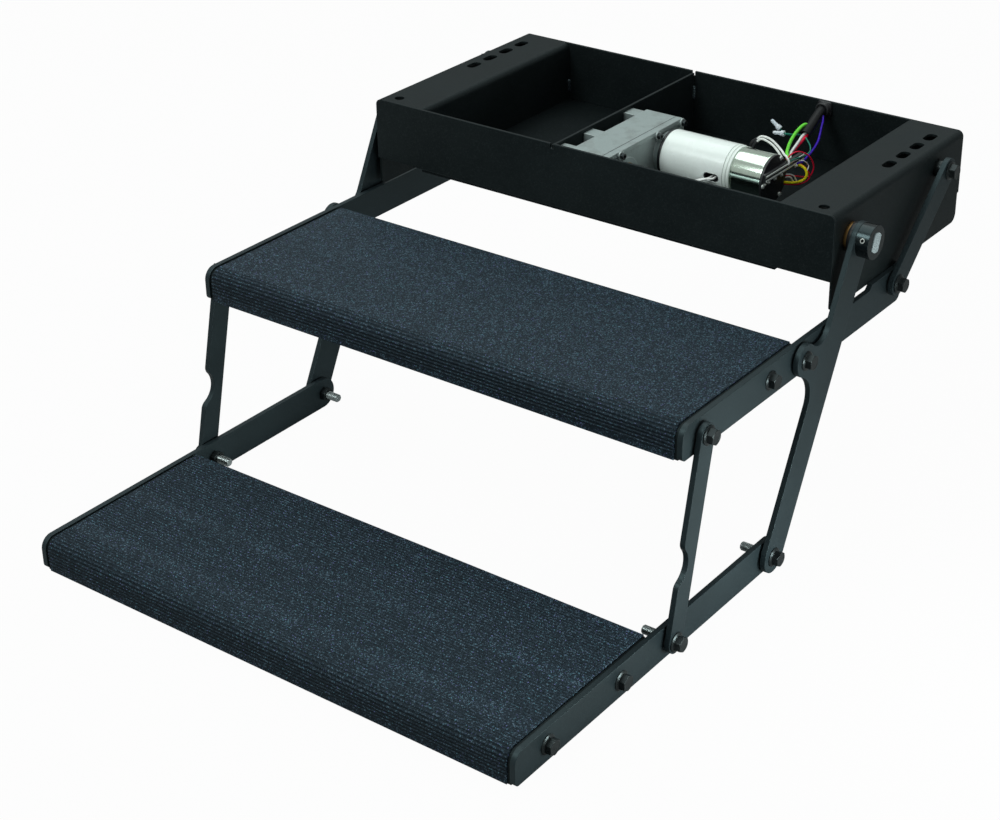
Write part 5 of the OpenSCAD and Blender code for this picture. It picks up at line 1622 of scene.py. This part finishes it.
@dataclass
class Wiring:
    """Wires, harness sheath, clamp and crimp caps. Routes are measured from a line behind the motor."""

    layout: Layout
    from_y: float = 132.0
    heavy: float = 1.9
    thick: float = 1.6
    stout: float = 1.5
    medium: float = 1.3
    thin: float = 0.8
    hair: float = 0.55
    lead_in: float = 6.0
    run_in: float = 4.0
    sleeve: tuple[int, int] = (98, 112)
    bar_x: float = 163.0
    bar_top: float = -19.5
    strip_x: float = 168.5
    sheath_r: float = 6.0
    sheath_mouth: float = 273.5
    sheath_end: Point = (141.0, 80.0, -20.0)
    clamp: Place = (131.0, -9.0)
    crimps: tuple[Point, Point] = ((110.9, 78.0, -18.4), (123.9, 65.0, -16.7))
    crimp_lifts: tuple[float, float] = (36.0, -7.0)

    def line(self, route: Sequence[Point], lead_in: float = 0.0) -> Array:
        """A wire's middle line in the model's frame.

        Args:
            route: points from the line behind the motor.
            lead_in: length by which its start reaches back into the sheath.

        Returns:
            (m, 3) points.
        """
        points = np.asarray(route, float)
        if lead_in:
            points = np.vstack([points[:1] + (0.0, lead_in, 0.0), points])
        return smooth_line(points + (0.0, self.from_y, 0.0))

    def crimp_ways(self) -> Array:
        """The ways in which the two crimp caps point: toward -X, lifted by their angles."""
        lift = np.radians(self.crimp_lifts)
        return np.stack([-np.cos(lift), 0 * lift, np.sin(lift)], -1)

    def ends(self) -> tuple[float, float, float, float]:
        """Where wires end: z on top of the bar, and x on its strips, on its back face and on the end plate."""
        return self.bar_top + 0.1, self.strip_x - 0.2, self.bar_x - 0.1, self.bar_x + 0.1

    def lead_routes(self) -> list[list[Point]]:
        """Routes of the two motor leads, from the slot in the case around the motor to the terminal bar.

        Returns:
            The points of each lead.
        """
        _, strip, face, _ = self.ends()
        return [
            [(99, -51, -36.5), (97, -57, -37.5), (88, -60.5, -40), (78, -61.5, -46), (72, -60, -56), (74, -52, -66),
             (82, -30, -70.5), (88, -8, -70.5), (102, 16, -58), (105, 20, -36), (107.5, 18.5, -18), (115, 18, -10.5),
             (121.5, 18, -5.8), (134.7, 16, -6.6), (148.9, 12, -13.2), (157.2, 6, -15.6), (162.8, 1, -15.2),
             (166.8, -2, -16.8), (168.9, -3.2, -19.6), (strip, -3.6, -22.4)],
            [(104, -51, -36), (103, -57, -36.5), (95, -62.5, -37.5), (86, -66, -42), (78, -66.5, -54), (80, -57, -66),
             (90, -30, -70.5), (96, -8, -70.5), (108, 11, -58), (111, 15.5, -36), (112, 15.5, -20), (116.7, 15, -12.2),
             (123, 15, -7.6), (135.3, 14, -10.2), (145, 11, -14.7), (154, 7, -20.9), (158.5, 6, -25), (face, 6, -25.5)],
        ]

    def wire_routes(self) -> dict[tuple[str, Finish], list[tuple[list[Point], float, float]]]:
        """Routes of the other wires.

        Returns:
            For each node and finish, its wires: the points, the radius and the length that reaches into the sheath.
        """
        top, strip, face, plate = self.ends()
        a, b = (np.asarray(c) for c in self.crimps)
        way = self.crimp_ways()
        return {
            ("wire_green", GREEN): [
                ([(136.5, 100, -15), (133.6, 94, -12.6), (134.9, 78, -12.8), (138.6, 58, -15.4), (145, 38, -17.3),
                  (153.9, 18, -17.3), (158.6, 10.4, -17.6), (161.2, 7.6, -19.4), (face, 6.4, -21.6)], self.heavy, 0.0)],
            ("wire_white", WHITE): [
                ([(140.7, 79.7, -19), (141.6, 73, -19.4), (146.9, 53, -20.5), (153.5, 28, -21.2), (159, 16.5, -21.6),
                  (face, 11.5, -21.8)], self.thick, self.lead_in),
                ([(plate, 0, -39.5), (166.5, 4.9, -40.1), (167.5, 10.5, -46.5)], self.thin, 0.0),
                ([(plate, 0.5, -36), (165.5, 8, -38.5), (166.8, 12.9, -41.5), (169, 15.8, -47.4)], self.thin, 0.0),
                ([(strip, 20, -24.8), (172, 25.3, -26.3), (175, 30.8, -32.9), (177, 24.3, -36.9)], self.hair, 0.0)],
            ("wire_red", RED): [
                ([(143, 79.7, -21.2), (144.3, 73, -21.6), (146.5, 53, -24.2), (152, 28, -24.8), (157.5, 13.5, -22.8),
                  (face, 6.5, -21.4)], self.heavy, self.lead_in),
                ([(165, 0.4, top), (165.4, -0.8, -16.8), (168.5, 1.4, -11.4), (172, 12.5, -11), (178, 25.1, -18.9),
                  (181, 32, -33), (178, 30, -44.5), (172, 22.6, -44.4), (166, 12, -41), (plate, 0.5, -38)],
                 self.thin, 0.0),
                ([(strip, 23, -29.4), (175, 25.4, -34.7), (179, 27.6, -43.4), (177, 23.4, -49.2), (170, 14.5, -51.5),
                  (plate, -2, -47)], self.thin, 0.0)],
            ("wire_purple", PURPLE): [
                ([(135, 132, -11), (138.4, 127.5, -12.8), (141.3, 122.5, -15.8), (144.8, 113, -20.4),
                  (149.8, 100.5, -24.6), (154.9, 87, -27.4), (161.2, 63, -29.2), (165, 43, -30), (167.8, 30, -29.4),
                  (168.8, 22, -28.2), (strip, 16, -27)], self.medium, 0.0)],
            ("wire_yellow", YELLOW): [
                ([(strip, 18.5, -29), (172, 21, -31.3), (176, 21.6, -34), (178.6, 21, -38.9), (177.6, 19.6, -44),
                  (174, 16.6, -47.2), (168, 9.2, -48), (plate, -2.5, -44.5)], self.stout, 0.0)],
            ("wire_teal", TEAL): [
                ([(138.5, 82, -19.5), (131, 76, -20), (123, 76.5, -22), tuple(a - 6 * way[0]), tuple(a + way[0])],
                 self.thin, 0.0),
                ([(136.8, 79.7, -20), (135.2, 70, -17.5), tuple(b - 6 * way[1]), tuple(b + way[1])], self.thin, 0.0),
                ([(142, 80, -21), (150, 70.5, -20.3), (159.5, 60.5, -21.8), (166.2, 49, -23.4), (167.6, 36, -24.2),
                  (167.9, 22, -22), (167.5, 9, -20.4), (167.3, 0, -20.2)], self.thin, 0.0)],
        }

    def wires(self) -> None:
        """Makes every wire as a round tube along its smooth line, and a black sleeve on each motor lead."""
        for (name, finish), lines in self.wire_routes().items():
            skin = Skin()
            for route, radius, lead_in in lines:
                skin.tube(self.line(route, lead_in), radius)
            skin.build(f"{name}_run", Body.BOX, [finish], [name], 60.0)
        skin = Skin()
        for route in self.lead_routes():
            line = self.line(route)
            inward = line[:1] + (0.0, self.run_in, 0.0)
            skin.tube(np.vstack([inward, line]), self.medium)
            sleeve = line[slice(*self.sleeve)]
            skin.tube(sleeve, self.thick + np.interp(np.linspace(0, 1, len(sleeve)), [0, 0.08, 0.92, 1],
                                                      [0.25, 0.65, 0.65, 0.25]), finish=1)
        skin.build("motor_leads_run", Body.BOX, [WHITE, BLACK_PLASTIC], ["motor_leads"], 60.0)

    def sheath(self) -> None:
        """Makes the harness sheath, a slightly creased hose that is open where the wires come out."""
        mouth = np.array([self.clamp[0], self.sheath_mouth - self.from_y, self.clamp[1]])
        end = np.asarray(self.sheath_end)
        way = end - mouth
        line = self.line([mouth, mouth + (0.06, 0.14, 0.1) * way, mouth + (0.3, 0.38, 0.36) * way,
                          mouth + (0.68, 0.7, 0.7) * way, end])
        share = np.linspace(0, 1, len(line))
        crease = 1 - 0.02 * (0.5 + 0.5 * np.sin(share * 61.0)) * np.sin(np.pi * share)
        grid = tube_grid(line, (self.sheath_r - 0.1) * crease, 32)
        middle = line[-1]
        back = unit(line[-2] - line[-1])
        lip = np.stack([middle + (grid[-1] - middle) * k + d * back
                        for k, d in ((0.98, -0.0), (0.93, 0.15), (0.89, 0.6), (0.88, 6.0))])
        skin = Skin()
        skin.grid(np.concatenate([grid, lip]), wrap_cols=True)
        skin.cap(lip[-1], False)
        skin.build("harness_sheath_hose", Body.BOX, [HOSE], ["harness_sheath"], 60.0)

    def strain_clamp(self) -> None:
        """Makes the clamp on the rear wall: a square-shouldered foot that narrows to a grooved round collar.

        Each section is a curve |u|^n + |v|^n = r^n; n falls from 7 at the foot to 2 at the collar.
        """
        depth = np.array([0.0, 0.0, 0.3, 2.6, 2.9, 3.0, 3.6, 4.0, 5.2, 5.6, 6.4, 6.8, 8.4, 9.0, 9.0, 8.4])
        size = np.array([6.3, 8.6, 8.95, 8.95, 8.6, 8.3, 8.2, 8.4, 8.4, 7.8, 7.8, 8.4, 8.4, 7.8, 6.4, 6.25])
        power = np.array([2.0, 7.0, 7.0, 7.0, 7.0, 3.0, 2.4, 2.2, 2.2, 2.2, 2.2, 2.2, 2.2, 2.2, 2.0, 2.0])
        a = np.linspace(0, 2 * np.pi, 64, endpoint=False)
        c, s = np.cos(a)[None], np.sin(a)[None]
        r = size[:, None] / (np.abs(c) ** power[:, None] + np.abs(s) ** power[:, None]) ** (1 / power[:, None])
        grid = np.stack([self.clamp[0] + r * c, np.broadcast_to(self.layout.bay_rear - depth[:, None], r.shape),
                         self.clamp[1] + r * s], -1)
        skin = Skin()
        skin.grid(grid, wrap_rows=True, wrap_cols=True)
        skin.build("harness_clamp_moulded", Body.BOX, [BLACK_PLASTIC], ["harness_clamp"])

    def crimp_caps(self) -> None:
        """Turns the two crimp caps: a bell over the wire, a waist and a round-ended barrel."""
        section = fillet([(0.3, 1.2), (0.3, 3.4), (4.6, 3.2), (6.0, 2.3), (14.0, 2.0), (15.3, 1.2), (15.3, 0.0)],
                         [0.1, 0.5, 0.8, 1.2, 0.8, 0.5, 0.0], 4)
        skin = Skin()
        for place, way in zip(self.crimps, self.crimp_ways()):
            skin.lathe(section, (place[0], place[1] + self.from_y, place[2]), way, count=28)
        skin.build("crimp_caps_nylon", Body.BOX, [CLEAR], ["crimp_caps"], 50.0)

    def build(self) -> None:
        """Makes the wiring's pieces in order."""
        self.wires()
        self.sheath()
        self.strain_clamp()
        self.crimp_caps()


@dataclass
class WeldBeads:
    """Short weld beads in the inside corners of the box."""

    layout: Layout
    size: float = 2.6
    ripple: float = 2.2
    swell: float = 0.13
    bay: Place = (-64.0, -47.0)
    plate: Place = (-36.0, -18.0)
    divider: Place = (-52.0, -49.0)

    def bead(self, skin: Skin, low: Point, high: Point, a: Point, b: Point) -> None:
        """A bead in a corner: a quarter round from side a to side b whose size ripples along its length.

        Args:
            skin: where the surface goes.
            low: lower end of the corner line.
            high: upper end of the corner line.
            a: way out of the corner along one side.
            b: way out of the corner along the other side.
        """
        low, high, a, b = (np.asarray(p, float) for p in (low, high, a, b))
        long = float(np.linalg.norm(high - low))
        t = np.linspace(0, 1, max(int(long * 3), 12))[:, None, None]
        swell = np.sqrt(np.clip(1 - (2 * t - 1) ** 8, 0.02, 1))
        wave = 1 + self.swell * np.abs(np.sin(np.pi * t * long / self.ripple))
        turn = np.linspace(-0.25, np.pi / 2 + 0.25, 12)[None, :, None]
        r = self.size * swell * wave * (1 - 0.16 * np.sin(2 * turn))
        grid = low + t * (high - low) + r * (np.cos(turn) * a + np.sin(turn) * b)
        facing = np.cross(b - a, high - low) @ (a + b)
        skin.grid(grid if facing > 0 else grid[:, ::-1])

    def build(self) -> None:
        """Places beads in the corners of the bay and beside the divider plate."""
        front, rear = self.layout.bay_front, self.layout.bay_rear
        (bay_low, bay_high), (low, high), (left, right) = self.bay, self.plate, self.divider
        skin = Skin()
        for side in (-1, 1):
            x = side * self.layout.bay_x
            for y, way in ((front, 1.0), (rear, -1.0)):
                self.bead(skin, (x, y, bay_low), (x, y, bay_high), (-side, 0, 0), (0, way, 0))
        for x, y, out, way in ((right, rear, 1.0, -1.0), (left, rear, -1.0, -1.0), (left, front, -1.0, 1.0)):
            self.bead(skin, (x, y, low), (x, y, high), (out, 0, 0), (0, way, 0))
        skin.build("weld_beads", Body.BOX, [LIT_WELD], (), 60.0)


# Camera and studio


@dataclass(frozen=True)
class PhotoCamera:
    """The camera of the photograph, in pixels of a 1000 x 820 image and millimetres."""

    focal: float = 2061.21
    place: Point = (1200.78, -1756.37, 836.41)
    yaw: float = 36.82
    pitch: float = -26.77
    roll: float = -0.65
    middle: Place = (517.15, 340.68)
    image: Place = (1000.0, 820.0)
    sensor: float = 36.0

    def build(self) -> None:
        """Makes the camera: its way comes from yaw and pitch, and the roll turns right and up about it."""
        yaw, pitch, roll = (math.radians(v) for v in (self.yaw, self.pitch, self.roll))
        ahead = np.array([-math.sin(yaw) * math.cos(pitch), math.cos(yaw) * math.cos(pitch), math.sin(pitch)])
        right = unit(np.cross(ahead, (0, 0, 1)))
        up = np.cross(right, ahead)
        right, up = (math.cos(roll) * right + math.sin(roll) * up, math.cos(roll) * up - math.sin(roll) * right)
        data = bpy.data.cameras.new("photo_camera")
        data.sensor_width = self.sensor
        data.lens = self.focal * self.sensor / self.image[0]
        data.shift_x = (self.image[0] / 2 - self.middle[0]) / self.image[0]
        data.shift_y = (self.middle[1] - self.image[1] / 2) / self.image[0]
        camera = bpy.data.objects.new("photo_camera", data)
        turn = np.eye(4)
        turn[:3, :3] = np.stack([right, up, -ahead], 1)
        turn[:3, 3] = np.asarray(self.place) * MM
        camera.matrix_world = Matrix(turn.tolist())
        bpy.context.scene.collection.objects.link(camera)
        bpy.context.scene.camera = camera


COOL = (0.91, 1.0, 0.985)


@dataclass(frozen=True)
class Lamp:
    """A soft square lamp with a slightly cool light and, where its spread is narrow, a grid in front."""

    name: str
    place: Point
    aim: Point
    size: tuple[float, float]
    power: float
    spread: float = 180.0

    def build(self) -> None:
        """Makes the lamp in metres, turned toward its aim and unseen by the camera."""
        data = bpy.data.lights.new(self.name, "AREA")
        data.shape = "RECTANGLE"
        data.size, data.size_y = self.size
        data.energy = self.power
        data.spread = math.radians(self.spread)
        data.color = COOL
        lamp = bpy.data.objects.new(self.name, data)
        lamp.location = self.place
        lamp.rotation_mode = "QUATERNION"
        lamp.rotation_quaternion = (Vector(self.aim) - Vector(self.place)).to_track_quat("-Z", "Y")
        lamp.visible_camera = False
        bpy.context.scene.collection.objects.link(lamp)


@dataclass(frozen=True)
class Studio:
    """A white room in metres: a pale floor that keeps the shadow, a white surround and soft lamps."""

    ambient: float = 0.42
    glow: float = 0.97
    paint: float = 0.36
    floor_half: float = 9.0
    floor_points: int = 37
    level_r: float = 5.0
    curve: float = 0.08
    gap: float = 0.0008
    lamps: tuple[Lamp, ...] = (
        Lamp("top_lamp", (-0.7, 0.6, 2.9), (0.0, -0.1, -0.1), (3.2, 3.2), 52.0),
        Lamp("right_lamp", (1.9, -0.9, 0.0), (0.3, -0.3, -0.28), (0.9, 0.6), 6.0),
        Lamp("low_lamp", (0.92, -0.16, -0.24), (0.32, -0.22, -0.35), (0.4, 0.16), 1.4, 74.0),
        Lamp("front_lamp", (-0.9, -2.3, 2.4), (0.0, 0.0, -0.1), (1.4, 1.0), 44.0),
    )

    def seen(self, nodes: bpy.types.Nodes, links: bpy.types.NodeLinks) -> Socket:
        """1 on rays from the camera and through glass.

        Args:
            nodes: the tree's nodes.
            links: the tree's links.

        Returns:
            The mask.
        """
        path = nodes.new("ShaderNodeLightPath")
        either = nodes.new("ShaderNodeMath")
        either.operation = "MAXIMUM"
        links.new(path.outputs["Is Camera Ray"], either.inputs[0])
        links.new(path.outputs["Is Transmission Ray"], either.inputs[1])
        return either.outputs[0]

    def world(self) -> None:
        """Makes a white surround whose light on the object is lower than its look."""
        world = bpy.data.worlds.new("white_room")
        bpy.context.scene.world = world
        world.use_nodes = True
        nodes, links = world.node_tree.nodes, world.node_tree.links
        strength = nodes.new("ShaderNodeMapRange")
        links.new(self.seen(nodes, links), strength.inputs["Value"])
        strength.inputs["To Min"].default_value = self.ambient
        strength.inputs["To Max"].default_value = 1.0
        tint = nodes.new("ShaderNodeMix")
        tint.data_type = "RGBA"
        share, low, high = (tint.inputs[k] for k in MIX_INPUTS)
        links.new(strength.outputs["Result"], share)
        low.default_value, high.default_value = (*COOL, 1), (1, 1, 1, 1)
        background = next(n for n in nodes if n.type == "BACKGROUND")
        links.new(tint.outputs[MIX_OUTPUT], background.inputs["Color"])
        links.new(strength.outputs["Result"], background.inputs["Strength"])

    def floor(self, level: float) -> None:
        """Lays a pale floor, level near the object and curving up far behind it, and marks it as stage.

        The height is a square law of the distance beyond the level part.

        Args:
            level: z of the floor in metres.
        """
        u = np.linspace(-self.floor_half, self.floor_half, self.floor_points)
        x, y = np.meshgrid(u, u, indexing="ij")
        far = np.maximum(np.hypot(x, y) - self.level_r, 0)
        grid = np.stack([x, y, level + self.curve * far**2], -1)
        mesh = bpy.data.meshes.new("floor")
        mesh.from_pydata(grid.reshape(-1, 3).tolist(), [], grid_faces(len(u), len(u))[:, ::-1].tolist())
        mesh.shade_smooth()
        material = bpy.data.materials.new("pale_floor")
        material.use_nodes = True
        nodes, links = material.node_tree.nodes, material.node_tree.links
        nodes.clear()
        paint, shine = nodes.new("ShaderNodeBsdfDiffuse"), nodes.new("ShaderNodeEmission")
        paint.inputs["Color"].default_value = (self.paint, self.paint, self.paint, 1)
        mix, output = nodes.new("ShaderNodeMixShader"), nodes.new("ShaderNodeOutputMaterial")
        share = nodes.new("ShaderNodeMath")
        share.operation = "MULTIPLY"
        links.new(self.seen(nodes, links), share.inputs[0])
        share.inputs[1].default_value = self.glow
        links.new(share.outputs[0], mix.inputs[0])
        links.new(paint.outputs[0], mix.inputs[1])
        links.new(shine.outputs[0], mix.inputs[2])
        links.new(mix.outputs[0], output.inputs["Surface"])
        mesh.materials.append(material)
        floor = bpy.data.objects.new("floor", mesh)
        bpy.context.scene.collection.objects.link(floor)
        floor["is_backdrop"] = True

    def build(self, low: float) -> None:
        """Makes the room, with its floor just below the object.

        Args:
            low: z of the object's lowest point in metres.
        """
        bpy.context.scene.view_settings.view_transform = "Standard"
        self.world()
        self.floor(low - self.gap)
        for lamp in self.lamps:
            lamp.build()


def dress_nodes(frame: dict) -> None:
    """Gives each CAD node the finish of its slot in the record.
    """
    slots = {part["node"]: Slot(part["material_slot"]) for part in frame["record"]["subparts"]}
    for name, node in frame["nodes"].items():
        finish = next((coat for start, coat in COATS.items() if name.startswith(start)), FINISHES[slots[name]])
        for holder in node.material_slots:
            holder.material = finish.material()
        log.info("%s: %s", name, slots[name].value)


def main() -> None:
    """Loads the frame and builds the studio, the camera and every sub-assembly in order."""
    logging.basicConfig(level=logging.INFO, format="%(message)s")
    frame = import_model()
    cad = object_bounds()
    layout = Layout()
    PhotoCamera().build()
    Studio().build(cad[0].z)
    dress_nodes(frame)
    TreadCovers().build_all()
    Fasteners(layout).build()
    ShaftBushes(layout).build()
    SetScrew(layout).build()
    GearboxTrim(layout).build()
    Motor(layout).build()
    Wiring(layout).build()
    WeldBeads(layout).build()


if __name__ == "__main__":
    main()
